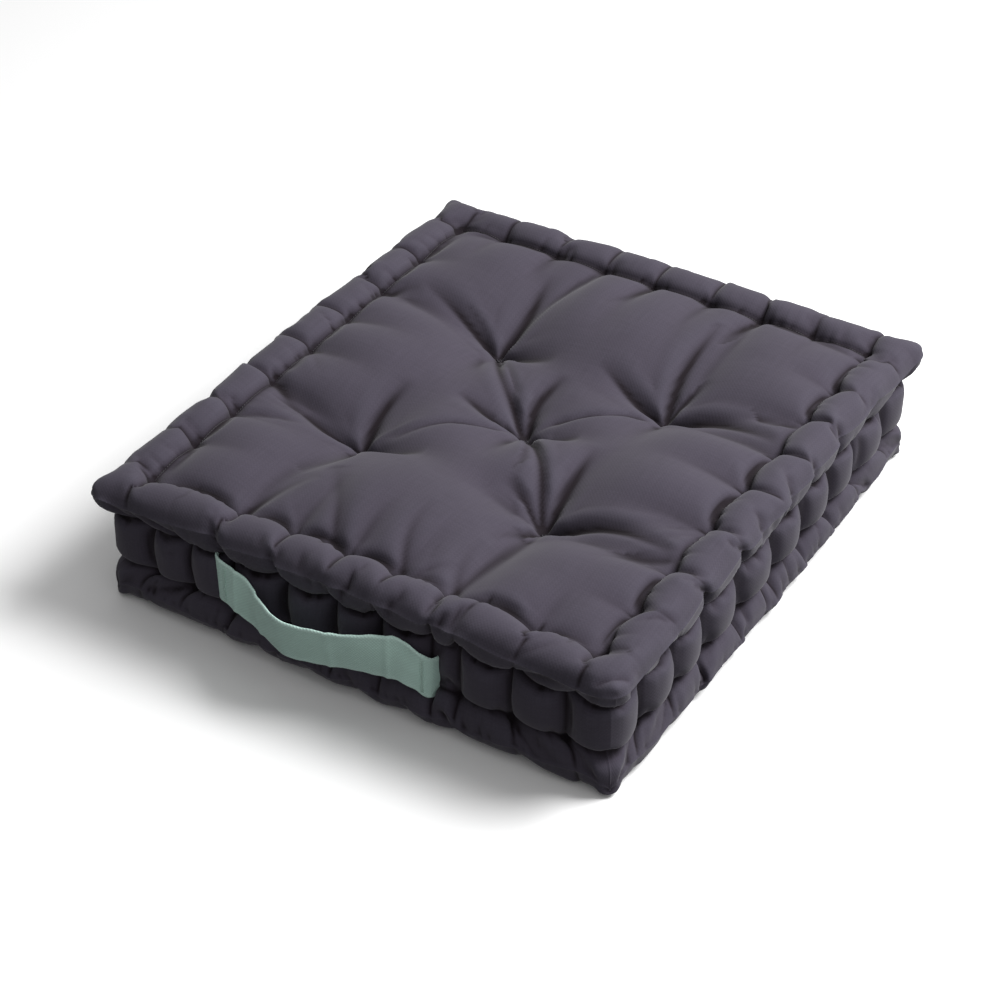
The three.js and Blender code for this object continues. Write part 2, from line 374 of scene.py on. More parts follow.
@dataclass(frozen=True)
class PlainWeaveCotton:
    """Washed plain-weave cotton, piece dyed charcoal with a violet cast.

    Carded yarn leaves slubs and a dry, matt face with a faint fuzz. Creases are painted darker, as painted
    shade, and ridges that get rubbed turn a shade paler.
    """

    name: str = "cotton_plain_weave_dyed"
    shade: str = "#3F3A45"
    rubbed: str = "#47444F"
    # Painted shade: creases and hollows are painted towards this dark colour.
    painted_shade_colour: str = "#150D14"
    thread_mm: float = 1.5
    roughness: float = 0.92

    def build(self) -> bpy.types.Material:
        """Builds the node material.

        Returns:
            The material.
        """
        material, tree = new_material(self.name)
        cloth = add_node(tree, "ShaderNodeUVMap", uv_map="cloth").outputs["UV"]
        # Real yarn is about 0.5 mm. It is drawn three times as coarse, or it would not show at all.
        drift = add_node(tree, "ShaderNodeTexNoise", {"Vector": cloth, "Scale": 60.0, "Detail": 2.0})
        shift = add_node(
            tree, "ShaderNodeVectorMath", {0: drift.outputs["Color"], "Scale": 0.0012}, operation="SCALE"
        )
        wavy = add_node(tree, "ShaderNodeVectorMath", {0: cloth, 1: shift.outputs[0]}, operation="ADD")
        turns = math.pi / (self.thread_mm / MM)
        phase = add_node(
            tree, "ShaderNodeVectorMath", {0: wavy.outputs[0], "Scale": turns}, operation="SCALE"
        )
        axes = add_node(tree, "ShaderNodeSeparateXYZ", {0: phase.outputs[0]})
        warp = add_node(tree, "ShaderNodeMath", {0: axes.outputs["X"]}, operation="SINE")
        weft = add_node(tree, "ShaderNodeMath", {0: axes.outputs["Y"]}, operation="SINE")
        weave = add_node(
            tree, "ShaderNodeMath", {0: warp.outputs[0], 1: weft.outputs[0]}, operation="MULTIPLY"
        )
        # Slubs are thick stretches of yarn, about 25 mm long and a thread or two wide.
        slubs = []
        for stretch in ((40.0, 700.0, 1.0), (700.0, 40.0, 1.0)):
            run = add_node(tree, "ShaderNodeMapping", {"Vector": cloth, "Scale": stretch})
            slubs.append(
                add_node(tree, "ShaderNodeTexNoise", {"Vector": run.outputs[0], "Scale": 1.0, "Detail": 1.5})
            )
        slub = add_node(
            tree, "ShaderNodeMath", {0: slubs[0].outputs["Fac"], 1: slubs[1].outputs["Fac"]}, operation="ADD"
        )
        slub_light = add_node(
            tree, "ShaderNodeMapRange",
            {"Value": slub.outputs[0], "From Min": 0.7, "From Max": 1.3, "To Min": -0.07, "To Max": 0.07}
        )
        fade = add_node(
            tree, "ShaderNodeTexNoise", {"Vector": cloth, "Scale": 9.0, "Detail": 3.0, "Roughness": 0.6}
        )
        fade_light = add_node(
            tree, "ShaderNodeMapRange",
            {"Value": fade.outputs["Fac"], "From Min": 0.3, "From Max": 0.7, "To Min": -0.06, "To Max": 0.06}
        )
        weave_light = add_node(tree, "ShaderNodeMath", {0: weave.outputs[0], 1: 0.02}, operation="MULTIPLY")
        light = add_node(
            tree, "ShaderNodeMath", {0: slub_light.outputs[0], 1: fade_light.outputs[0]}, operation="ADD"
        )
        light = add_node(
            tree, "ShaderNodeMath", {0: light.outputs[0], 1: weave_light.outputs[0]}, operation="ADD"
        )
        light = add_node(tree, "ShaderNodeMath", {0: light.outputs[0], 1: 1.0}, operation="ADD")
        worn = add_node(tree, "ShaderNodeAttribute", attribute_name="ridge")
        deep = add_node(tree, "ShaderNodeAttribute", attribute_name="painted_crease_shade")
        dyed = add_node(
            tree, "ShaderNodeMix",
            {"Factor": worn.outputs["Fac"], 6: hex_to_linear(self.shade), 7: hex_to_linear(self.rubbed)},
            data_type="RGBA"
        )
        lit = add_node(
            tree, "ShaderNodeVectorMath", {0: dyed.outputs[2], "Scale": light.outputs[0]}, operation="SCALE"
        )
        # Painted shade: the colour is drawn towards the dark crease colour where the cloth lies in a crease.
        colour = add_node(
            tree, "ShaderNodeMix",
            {"Factor": deep.outputs["Fac"], 6: lit.outputs[0], 7: hex_to_linear(self.painted_shade_colour)},
            data_type="RGBA"
        )
        height = add_node(tree, "ShaderNodeMath", {0: weave.outputs[0], 1: slub.outputs[0]}, operation="ADD")
        bump = add_node(
            tree, "ShaderNodeBump", {"Height": height.outputs[0], "Strength": 0.2, "Distance": 0.00015}
        )
        dry = add_node(
            tree, "ShaderNodeMapRange",
            {"Value": fade.outputs["Fac"], "To Min": self.roughness - 0.05,
             "To Max": min(1.0, self.roughness + 0.05)}
        )
        shader = add_node(
            tree, "ShaderNodeBsdfPrincipled",
            {"Base Color": colour.outputs[2], "Roughness": dry.outputs[0], "Normal": bump.outputs[0],
             "Sheen Weight": 0.12, "Sheen Roughness": 0.5, "Specular IOR Level": 0.25, "IOR": 1.45}
        )
        add_node(tree, "ShaderNodeOutputMaterial", {"Surface": shader.outputs[0]})
        return material


@dataclass(frozen=True)
class CottonWebbing:
    """Flat woven cotton webbing in pale sage, folded to a hem along both edges.

    Close ribs run along it. The hems are painted paler than the middle, as a painted highlight for the light
    they catch.
    """

    name: str = "cotton_webbing_sage"
    shade: str = "#D4F7EC"
    # Painted highlight: the hems are painted in this paler colour.
    hem: str = "#DAF8EF"
    shadow: str = "#B4D2C8"
    rib_mm: float = 1.3
    width_mm: float = 38.0

    def build(self) -> bpy.types.Material:
        """Builds the node material.

        Returns:
            The material.
        """
        material, tree = new_material(self.name)
        cloth = add_node(tree, "ShaderNodeUVMap", uv_map="cloth").outputs["UV"]
        # Real ribs are about 0.6 mm. They are drawn twice as coarse so that they show.
        phase = add_node(
            tree, "ShaderNodeVectorMath", {0: cloth, "Scale": math.pi / (self.rib_mm / MM)}, operation="SCALE"
        )
        axes = add_node(tree, "ShaderNodeSeparateXYZ", {0: phase.outputs[0]})
        along = add_node(tree, "ShaderNodeMath", {0: axes.outputs["X"]}, operation="SINE")
        across = add_node(tree, "ShaderNodeMath", {0: axes.outputs["Y"]}, operation="SINE")
        weave = add_node(
            tree, "ShaderNodeMath", {0: along.outputs[0], 1: across.outputs[0]}, operation="MULTIPLY"
        )
        place = add_node(tree, "ShaderNodeSeparateXYZ", {0: cloth})
        middle = add_node(tree, "ShaderNodeMath", {0: place.outputs["Y"]}, operation="ABSOLUTE")
        # Painted highlight: paler towards both hems.
        edge = add_node(
            tree, "ShaderNodeMapRange",
            {"Value": middle.outputs[0], "From Min": (self.width_mm / 2 - 4.5) / MM,
             "From Max": (self.width_mm / 2 - 1.5) / MM, "To Min": 0.0, "To Max": 0.55}
        )
        tint = add_node(
            tree, "ShaderNodeTexNoise", {"Vector": cloth, "Scale": 45.0, "Detail": 4.0, "Roughness": 0.65}
        )
        mottled = add_node(
            tree, "ShaderNodeMix",
            {"Factor": tint.outputs["Fac"], 6: hex_to_linear(self.shadow), 7: hex_to_linear(self.shade)},
            data_type="RGBA"
        )
        plain = add_node(
            tree, "ShaderNodeMix", {"Factor": 0.25, 6: mottled.outputs[2], 7: hex_to_linear(self.shade)},
            data_type="RGBA"
        )
        hem_highlighted = add_node(
            tree, "ShaderNodeMix",
            {"Factor": edge.outputs[0], 6: plain.outputs[2], 7: hex_to_linear(self.hem)},
            data_type="RGBA"
        )
        light = add_node(
            tree, "ShaderNodeMath", {0: weave.outputs[0], 1: 0.07, 2: 1.0}, operation="MULTIPLY_ADD"
        )
        colour = add_node(
            tree, "ShaderNodeVectorMath", {0: hem_highlighted.outputs[2], "Scale": light.outputs[0]}, operation="SCALE"
        )
        bump = add_node(
            tree, "ShaderNodeBump", {"Height": weave.outputs[0], "Strength": 0.5, "Distance": 0.0002}
        )
        shader = add_node(
            tree, "ShaderNodeBsdfPrincipled",
            {"Base Color": colour.outputs[0], "Roughness": 0.88, "Normal": bump.outputs[0],
             "Sheen Weight": 0.1, "Specular IOR Level": 0.3, "IOR": 1.45}
        )
        add_node(tree, "ShaderNodeOutputMaterial", {"Surface": shader.outputs[0]})
        return material


@dataclass(frozen=True)
class WaxedTwine:
    """Laid cotton twine drawn through wax: dark, a little smoother than the cloth, with fine streaks."""

    name: str = "waxed_cotton_twine"
    # Dark, partly the twine's own colour and partly painted shade, so the twine reads as the shadowed groove
    # it lies in.
    shade: str = "#1B181D"
    pale: str = "#2C282F"
    roughness: float = 0.6
    fibre_mm: float = 0.4

    def build(self) -> bpy.types.Material:
        """Builds the node material.

        Returns:
            The material.
        """
        material, tree = new_material(self.name)
        place = add_node(tree, "ShaderNodeTexCoord").outputs["Object"]
        fibre = add_node(
            tree, "ShaderNodeTexNoise", {"Vector": place, "Scale": MM / self.fibre_mm / 3, "Detail": 3.0}
        )
        colour = add_node(
            tree, "ShaderNodeMix",
            {"Factor": fibre.outputs["Fac"], 6: hex_to_linear(self.shade), 7: hex_to_linear(self.pale)},
            data_type="RGBA"
        )
        bump = add_node(
            tree, "ShaderNodeBump", {"Height": fibre.outputs["Fac"], "Strength": 0.4, "Distance": 0.0001}
        )
        shader = add_node(
            tree, "ShaderNodeBsdfPrincipled",
            {"Base Color": colour.outputs[2], "Roughness": self.roughness, "Normal": bump.outputs[0],
             "IOR": 1.45}
        )
        add_node(tree, "ShaderNodeOutputMaterial", {"Surface": shader.outputs[0]})
        return material


@dataclass(frozen=True)
class FibreWadding:
    """Loose cotton wadding, carded: off-white, very rough, with a cloudy lie of fibres."""

    name: str = "carded_cotton_wadding"
    shade: str = "#DDD6C9"
    cloud: str = "#C4BBAA"
    lump_mm: float = 18.0

    def build(self) -> bpy.types.Material:
        """Builds the node material.

        Returns:
            The material.
        """
        material, tree = new_material(self.name)
        place = add_node(tree, "ShaderNodeTexCoord").outputs["Object"]
        lump = add_node(
            tree, "ShaderNodeTexNoise",
            {"Vector": place, "Scale": MM / self.lump_mm, "Detail": 6.0, "Roughness": 0.7}
        )
        colour = add_node(
            tree, "ShaderNodeMix",
            {"Factor": lump.outputs["Fac"], 6: hex_to_linear(self.cloud), 7: hex_to_linear(self.shade)},
            data_type="RGBA"
        )
        bump = add_node(
            tree, "ShaderNodeBump", {"Height": lump.outputs["Fac"], "Strength": 0.8, "Distance": 0.002}
        )
        shader = add_node(
            tree, "ShaderNodeBsdfPrincipled",
            {"Base Color": colour.outputs[2], "Roughness": 1.0, "Normal": bump.outputs[0]}
        )
        add_node(tree, "ShaderNodeOutputMaterial", {"Surface": shader.outputs[0]})
        return material


@dataclass(frozen=True)
class PaintedFloor:
    """Matt white studio floor paint, rolled on: even, with a trace of roller texture."""

    name: str = "studio_floor_paint"
    shade: str = "#F6F6F6"

    def build(self) -> bpy.types.Material:
        """Builds the node material.

        Returns:
            The material.
        """
        material, tree = new_material(self.name)
        place = add_node(tree, "ShaderNodeTexCoord").outputs["Object"]
        grain = add_node(tree, "ShaderNodeTexNoise", {"Vector": place, "Scale": 300.0, "Detail": 2.0})
        bump = add_node(
            tree, "ShaderNodeBump", {"Height": grain.outputs["Fac"], "Strength": 0.05, "Distance": 0.0002}
        )
        shader = add_node(
            tree, "ShaderNodeBsdfPrincipled",
            {"Base Color": hex_to_linear(self.shade), "Roughness": 0.9, "Normal": bump.outputs[0],
             "Specular IOR Level": 0.2}
        )
        add_node(tree, "ShaderNodeOutputMaterial", {"Surface": shader.outputs[0]})
        return material


# ------------------------------------------------------------------------------------- cutting plan


@dataclass(frozen=True)
class Stitching:
    """Where the twine pulls the cushion in: places along each side, and the five tufts.

    The front places listed as slack cross the roll but are not drawn tight at the groove in the panel.
    """

    front: tuple[float, ...] = (-187, -150, -108, -61, -14, 28, 71, 97, 142, 187)
    slack: tuple[float, ...] = (-150, 97)
    right: tuple[float, ...] = (-207, -163, -115, -58, -2, 50, 103, 150, 203)
    back: tuple[float, ...] = (-187, -148, -100, -52, -4, 45, 92, 140, 187)
    left: tuple[float, ...] = (-207, -160, -112, -62, -10, 42, 95, 150, 207)
    tufts: tuple[tuple[str, float, float], ...] = (
        ("centre", 0, 3),
        ("front_left", -98, -76),
        ("front_right", 73, -92),
        ("back_right", 82, 76),
        ("back_left", -77, 89),
    )

    def places(self, side: Side) -> tuple[float, ...]:
        """Stitch places along one side, from its low end."""
        return getattr(self, side.value)


@dataclass
class FlatCover:
    """The cover as it is cut and sewn: a box of cloth on a square grid, larger than the finished cushion.

    Lengths named cloth_ are measured along the cloth. The rest are measured on the finished cushion.
    """

    sizes: CushionSizes
    stitching: Stitching
    cell: float = 5.0
    cloth_face_roll: float = 45.6
    cloth_side_roll: float = 25.5
    cloth_between: float = 48.0
    ease: float = 0.065
    roll_width: float = 38.0
    roll_over: float = 13.0
    roll_under: float = 20.0
    # How far the top panel, then the bottom panel, swells from its groove, and over what distance.
    crowns: tuple[tuple[float, float], tuple[float, float]] = ((14.0, 60.0), (6.0, 30.0))
    tuft_pulls: tuple[float, float] = (37.0, 16.0)
    tuft_spread: float = 16.0
    face_rise: float = 4.0
    border_inset: float = 14.0
    border_bulge: float = 10.0
    border_drop: float = 19.3
    x: Array = field(init=False)
    y: Array = field(init=False)
    depth: Array = field(init=False)
    top: Array = field(init=False)
    bottom: Array = field(init=False)
    rows: list = field(init=False)
    ring: list = field(init=False)
    flat: Array = field(init=False)
    start: Array = field(init=False)
    faces: Array = field(init=False)
    panel: Array = field(init=False)
    uv: Array = field(init=False)
    down: Array = field(init=False)

    def __post_init__(self) -> None:
        """Lays out the grid, the faces and both shapes."""
        self.n_face = max(4, round(self.cloth_face_roll / self.cell))
        self.n_side = max(3, round(self.cloth_side_roll / self.cell))
        self.n_between = round(self.cloth_between / self.cell)
        self.x = self._lines(self.sizes.half_x)
        self.y = self._lines(self.sizes.half_y)
        side, between = self.cloth_side_roll, self.cloth_between
        upper = np.linspace(0, side, self.n_side + 1)
        middle = side + np.linspace(0, between, self.n_between + 1)
        self.depth = np.concatenate([upper[:-1], middle, side + between + upper[1:]])
        self._number_vertices()
        self._lay_flat()
        self._cut_faces()
        self._roll_up()

    def _lines(self, half: float) -> Array:
        """Grid lines across the cover, with the roll bands at both ends.

        Args:
            half: Half of the finished cushion in this direction.

        Returns:
            Positions on the flat cloth, symmetrical about zero.
        """
        inner = 2 * (half - self.roll_width) * (1 + self.ease)
        cells = round(inner / self.cell)
        band = np.linspace(0, self.cloth_face_roll, self.n_face + 1)
        middle = self.cloth_face_roll + np.linspace(0, inner, cells + 1)
        lines = np.concatenate([band[:-1], middle, self.cloth_face_roll + inner + band[1:]])
        return lines - lines[-1] / 2

    def _number_vertices(self) -> None:
        """Numbers the vertices of both faces and of the border rows."""
        nx, ny = len(self.x) - 1, len(self.y) - 1
        self.top = np.arange((nx + 1) * (ny + 1)).reshape(nx + 1, ny + 1)
        self.bottom = self.top + self.top.size
        self.ring = (
            [(i, 0) for i in range(nx)]
            + [(nx, j) for j in range(ny)]
            + [(i, ny) for i in range(nx, 0, -1)]
            + [(0, j) for j in range(ny, 0, -1)]
        )
        count, base = len(self.ring), 2 * self.top.size
        self.rows = [np.array([self.top[i, j] for i, j in self.ring])]
        for _ in range(1, len(self.depth) - 1):
            self.rows.append(base + np.arange(count))
            base += count
        self.rows.append(np.array([self.bottom[i, j] for i, j in self.ring]))

    def _lay_flat(self) -> None:
        """Places every vertex on the flat-cut box, and notes its cloth distance below the top seam."""
        total = self.depth[-1]
        middle = (self.sizes.top_seam + self.sizes.bottom_seam) / 2
        grid_x, grid_y = np.meshgrid(self.x, self.y, indexing="ij")
        inset = np.minimum(self.x[-1] - np.abs(grid_x), self.y[-1] - np.abs(grid_y)).ravel()
        face = np.stack([grid_x.ravel(), grid_y.ravel()], axis=1)
        ones = np.ones((len(face), 1))
        parts = [np.hstack([face, ones * (middle + way * total / 2)]) for way in (1, -1)]
        down = [-inset, total + inset]
        edge = np.array([(self.x[i], self.y[j]) for i, j in self.ring])
        for k in range(1, len(self.depth) - 1):
            parts.append(np.hstack([edge, np.full((len(edge), 1), middle + total / 2 - self.depth[k])]))
            down.append(np.full(len(edge), self.depth[k]))
        self.flat = np.vstack(parts)
        self.down = np.concatenate(down)

    def _cut_faces(self) -> None:
        """Lists the faces with the panel each belongs to and its place on the flat cloth in metres."""
        nx, ny, count = len(self.x) - 1, len(self.y) - 1, len(self.ring)
        faces, panel, uv = [], [], []
        for i in range(nx):
            for j in range(ny):
                x0, x1, y0, y1 = self.x[i], self.x[i + 1], self.y[j], self.y[j + 1]
                t, b = self.top, self.bottom
                faces.append((t[i, j], t[i + 1, j], t[i + 1, j + 1], t[i, j + 1]))
                uv.append(((x0, y0), (x1, y0), (x1, y1), (x0, y1)))
                faces.append((b[i, j], b[i, j + 1], b[i + 1, j + 1], b[i + 1, j]))
                uv.append(((x0, y0), (x0, y1), (x1, y1), (x1, y0)))
                panel += [Panel.TOP.value, Panel.BOTTOM.value]
        steps = [math.dist((self.x[a], self.y[b]), (self.x[c], self.y[d]))
                 for (a, b), (c, d) in zip(self.ring, self.ring[1:] + self.ring[:1])]
        run = np.concatenate([[0], np.cumsum(steps)])
        walls = [Panel.FRONT] * nx + [Panel.RIGHT] * ny + [Panel.BACK] * nx + [Panel.LEFT] * ny
        for k in range(len(self.depth) - 1):
            upper, lower, z0, z1 = self.rows[k], self.rows[k + 1], -self.depth[k], -self.depth[k + 1]
            for p in range(count):
                q = (p + 1) % count
                faces.append((upper[p], lower[p], lower[q], upper[q]))
                uv.append(((run[p], z0), (run[p], z1), (run[p + 1], z1), (run[p + 1], z0)))
                panel.append(walls[p].value)
        self.faces = np.array(faces)
        self.panel = np.array(panel)
        self.uv = np.array(uv) / MM

    def _arc(self, cloth: float, distance: float, height: float, end: float) -> tuple[float, float]:
        """Walks round one half of the rolled edge.

        Args:
            cloth: Cloth length of the whole half.
            distance: Cloth distance walked from the seam.
            height: Height of the half ellipse.
            end: Angle where the half stops.

        Returns:
            Inset from the seam line and height from the seam, both positive.
        """
        angle = math.pi - np.linspace(0, 1, 200) * (math.pi - end)
        radius = self.roll_width / 2
        inset, rise = radius * (1 + np.cos(angle)), height * np.sin(angle)
        run = np.concatenate([[0], np.cumsum(np.hypot(np.diff(inset), np.diff(rise)))])
        run *= cloth / run[-1]
        return float(np.interp(distance, run, inset)), float(np.interp(distance, run, rise))

    def _face_point(self, x: float, y: float, upper: bool) -> tuple[float, float, float]:
        """Finished place of a point of the top or bottom panel, before the simulation.

        Args:
            x: Place on the flat cloth.
            y: Place on the flat cloth.
            upper: True for the top panel.

        Returns:
            The point.
        """
        half_x, half_y, band = self.sizes.half_x, self.sizes.half_y, self.cloth_face_roll
        over = math.asin(self.face_rise / self.roll_over)
        from_x, from_y = self.x[-1] - abs(x), self.y[-1] - abs(y)
        inset_x, rise_x = self._arc(band, min(from_x, band), self.roll_over, over)
        inset_y, rise_y = self._arc(band, min(from_y, band), self.roll_over, over)
        scale_x = (half_x - self.roll_width) / (self.x[-1] - band)
        scale_y = (half_y - self.roll_width) / (self.y[-1] - band)
        px = math.copysign(half_x - inset_x, x) if from_x < band else x * scale_x
        py = math.copysign(half_y - inset_y, y) if from_y < band else y * scale_y
        rise = rise_x if from_x < from_y else rise_y
        if from_x >= band and from_y >= band:
            into = min(from_x, from_y) - band
            swell, reach = self.crowns[0 if upper else 1]
            pull = self.tuft_pulls[0 if upper else 1]
            rise = self.face_rise + swell * math.sin(min(into / reach, 1) * math.pi / 2)
            for _, tx, ty in self.stitching.tufts:
                rise -= pull * math.exp(-math.hypot(px - tx, py - ty) / self.tuft_spread)
        return px, py, self.sizes.top_seam + rise if upper else self.sizes.bottom_seam - rise

    def border_point(self, p: int, inset: float, z: float) -> tuple[float, float, float]:
        """A point of the border at one place round the cushion.

        Args:
            p: Place in the ring.
            inset: Distance inside the seam line.
            z: Height.

        Returns:
            The point.
        """
        i, j = self.ring[p]
        half_x, half_y = self.sizes.half_x - inset, self.sizes.half_y - inset
        x = self.x[i] * half_x / self.x[-1] if 0 < i < len(self.x) - 1 else math.copysign(half_x, self.x[i])
        y = self.y[j] * half_y / self.y[-1] if 0 < j < len(self.y) - 1 else math.copysign(half_y, self.y[j])
        return x, y, z

    def _roll_up(self) -> None:
        """Works out the shape that the cloth is gathered into before it is blown up."""
        self.start = self.flat.copy()
        for i, x in enumerate(self.x):
            for j, y in enumerate(self.y):
                self.start[self.top[i, j]] = self._face_point(x, y, True)
                self.start[self.bottom[i, j]] = self._face_point(x, y, False)
        top, bottom, total = self.sizes.top_seam, self.sizes.bottom_seam, self.depth[-1]
        radius = self.roll_width / 2
        under = math.acos((self.border_inset - radius) / radius)
        for k in range(1, len(self.depth) - 1):
            d = self.depth[k]
            if d <= self.cloth_side_roll:
                inset, drop = self._arc(self.cloth_side_roll, d, self.roll_under, under)
                z = top - drop
            elif total - d <= self.cloth_side_roll:
                inset, drop = self._arc(self.cloth_side_roll, total - d, self.roll_under, under)
                z = bottom + drop
            else:
                share = (d - self.cloth_side_roll) / self.cloth_between
                inset = self.border_inset - self.border_bulge * math.sin(math.pi * share)
                z = (top - self.border_drop) * (1 - share) + (bottom + self.border_drop) * share
            for p in range(len(self.ring)):
                self.start[self.rows[k][p]] = self.border_point(p, inset, z)

    def nearest_column(self, side: Side, place: float, on_border: bool) -> int:
        """Grid line closest to a stitch.

        Args:
            side: The side it is on.
            place: Where the stitch is along that side.
            on_border: True on the border, False at the groove in the panel.

        Returns:
            Index of the grid line.
        """
        across = side in (Side.FRONT, Side.BACK)
        lines, half = (self.x, self.sizes.half_x) if across else (self.y, self.sizes.half_y)
        if on_border:
            return nearest(lines, place * lines[-1] / half)
        return nearest(lines, place * (lines[-1] - self.cloth_face_roll) / (half - self.roll_width))

    def ring_place(self, side: Side, column: int) -> int:
        """Place in the ring of one grid line of one side."""
        nx, ny = len(self.x) - 1, len(self.y) - 1
        return {
            Side.FRONT: column,
            Side.RIGHT: nx + column,
            Side.BACK: nx + ny + (nx - column),
            Side.LEFT: 2 * nx + ny + (ny - column),
        }[side] % len(self.ring)


@dataclass
class Pulls:
    """Everything that holds the cloth in while it is blown up: grooves, upright creases, corners and tufts.

    A scallop is how much further a held line reaches midway between two stitches than at them.
    """

    cover: FlatCover
    target: Array = field(init=False)
    held: Array = field(init=False)
    face_groove: float = 33.0
    face_rise: float = 1.0
    face_scallop_rise: float = 6.0
    face_ends: float = 40.0
    side_groove: float = 17.0
    side_drops: tuple[float, float] = (15.0, 18.0)
    side_scallop: float = 5.0
    side_scallop_drops: tuple[float, float] = (6.0, 5.0)
    upright_bulge: float = 4.0
    # The near and right sides of the panels, then the far and left ones.
    scallops: tuple[float, float] = (6.5, 3.0)
    corner_cells: int = 4
    corner_columns: int = 4
    corner_curve: float = 2.8
    # Top roll, then bottom roll. Each pair is for the corner right of the handle, then the other three.
    corner_insets: tuple[tuple[float, float], tuple[float, float]] = ((1.5, 0.3), (5.0, 6.0))
    corner_radii: tuple[tuple[float, float], tuple[float, float]] = ((19.0, 12.0), (24.0, 21.0))
    corner_drop: float = 9.0
    least_height: float = 1.5
    border_radius: float = 20.0
    tuft_cells: int = 3
    tuft_reach: float = 7.5
    tuft_gather: float = 0.3
    tuft_slope: float = 0.9
    tuft_top: float = 69.0
    tuft_bottom: float = 24.0

    def __post_init__(self) -> None:
        """Sets every hold."""
        self.target = self.cover.start.copy()
        self.held = np.zeros(len(self.target), bool)
        self._hold_border()
        self._hold_face_grooves()
        self._hold_corners()
        self._hold_tufts()

    def _hold(self, vertex: int, point: tuple[float, float, float]) -> None:
        """Holds one vertex at a point."""
        self.target[vertex] = point
        self.held[vertex] = True

    def _rounded(
        self, point: tuple[float, float, float], inset: float, radius: float
    ) -> tuple[float, float, float]:
        """Moves a point inside a rounded rectangle.

        Args:
            point: The point.
            inset: How far the rectangle lies inside the seam line.
            radius: Radius of its corners.

        Returns:
            The moved point.
        """
        half = np.array([self.cover.sizes.half_x, self.cover.sizes.half_y]) - inset
        flat, centre = np.minimum(np.abs(point[:2]), half), half - radius
        out = np.maximum(flat - centre, 0)
        if out.min() > 0:
            out *= min(1.0, radius / np.hypot(*out))
        x, y = np.sign(point[:2]) * (np.minimum(flat, centre) + out)
        return float(x), float(y), float(point[2])

    @staticmethod
    def _scallops(stops: list[int], count: int) -> Array:
        """How far each place of a closed ring lies from its stitches.

        Args:
            stops: Places of the stitches.
            count: Places in the ring.

        Returns:
            0 at a stitch and 1 midway between two.
        """
        stops = sorted(set(stops))
        share = np.zeros(count)
        for a, b in zip(stops, stops[1:] + [stops[0] + count]):
            for p in range(a, b):
                share[p % count] = math.sin(math.pi * (p - a) / (b - a))
        return share

    def _hold_border(self) -> None:
        """Holds the two grooves of the border and the upright creases between them."""
        cover = self.cover
        top, bottom = cover.sizes.top_seam, cover.sizes.bottom_seam
        stops = [
            cover.ring_place(side, cover.nearest_column(side, place, True))
            for side in Side
            for place in cover.stitching.places(side)
        ]
        share = self._scallops(stops, len(cover.ring))
        first, last = cover.n_side, cover.n_side + cover.n_between
        (fall, rise), (fall_more, rise_more) = self.side_drops, self.side_scallop_drops
        for p in range(len(cover.ring)):
            inset = self.side_groove - self.side_scallop * share[p]
            for row, z in (
                (first, top - fall - fall_more * share[p]),
                (last, bottom + rise + rise_more * share[p]),
            ):
                point = cover.border_point(p, inset, z)
                self._hold(cover.rows[row][p], self._rounded(point, inset, self.border_radius))
            if p in stops:
                for k in range(first + 1, last):
                    v = (k - first) / cover.n_between
                    inset = self.side_groove - self.upright_bulge * math.sin(math.pi * v)
                    z = (top - fall) * (1 - v) + (bottom + rise) * v
                    self._hold(cover.rows[k][p], cover.border_point(p, inset, z))

    def _hold_face_grooves(self) -> None:
        """Holds the groove between each panel and its rolled edge."""
        cover, sizes, n = self.cover, self.cover.sizes, self.cover.n_face
        nx, ny = len(cover.x) - 1, len(cover.y) - 1
        ring = (
            [(i, n) for i in range(n, nx - n)]
            + [(nx - n, j) for j in range(n, ny - n)]
            + [(i, ny - n) for i in range(nx - n, n, -1)]
            + [(n, j) for j in range(ny - n, n, -1)]
        )
        place_of = {ij: p for p, ij in enumerate(ring)}
        stops = [place_of[ij] for ij in ((n, n), (nx - n, n), (nx - n, ny - n), (n, ny - n))]
        for side in Side:
            limit = (sizes.half_x if side in (Side.FRONT, Side.BACK) else sizes.half_y) - self.face_ends
            for place in cover.stitching.places(side):
                if abs(place) > limit or (side is Side.FRONT and place in cover.stitching.slack):
                    continue
                c = cover.nearest_column(side, place, False)
                on_side = {
                    Side.FRONT: (c, n), Side.BACK: (c, ny - n), Side.RIGHT: (nx - n, c), Side.LEFT: (n, c)
                }
                stops.append(place_of[on_side[side]])
        share = self._scallops(stops, len(ring))
        scale_x = (sizes.half_x - cover.roll_width) / cover.x[nx - n]
        scale_y = (sizes.half_y - cover.roll_width) / cover.y[ny - n]
        for p, (i, j) in enumerate(ring):
            near = j == n or i == nx - n
            inset = self.face_groove + self.scallops[0 if near else 1] * share[p]
            x, y = cover.x[i] * scale_x, cover.y[j] * scale_y
            if i in (n, nx - n):
                x = math.copysign(sizes.half_x - inset, x)
            if j in (n, ny - n):
                y = math.copysign(sizes.half_y - inset, y)
            rise = self.face_scallop_rise * share[p]
            self._hold(cover.top[i, j], (x, y, sizes.top_seam + self.face_rise + rise))
            self._hold(cover.bottom[i, j], (x, y, sizes.bottom_seam - self.face_rise - rise))

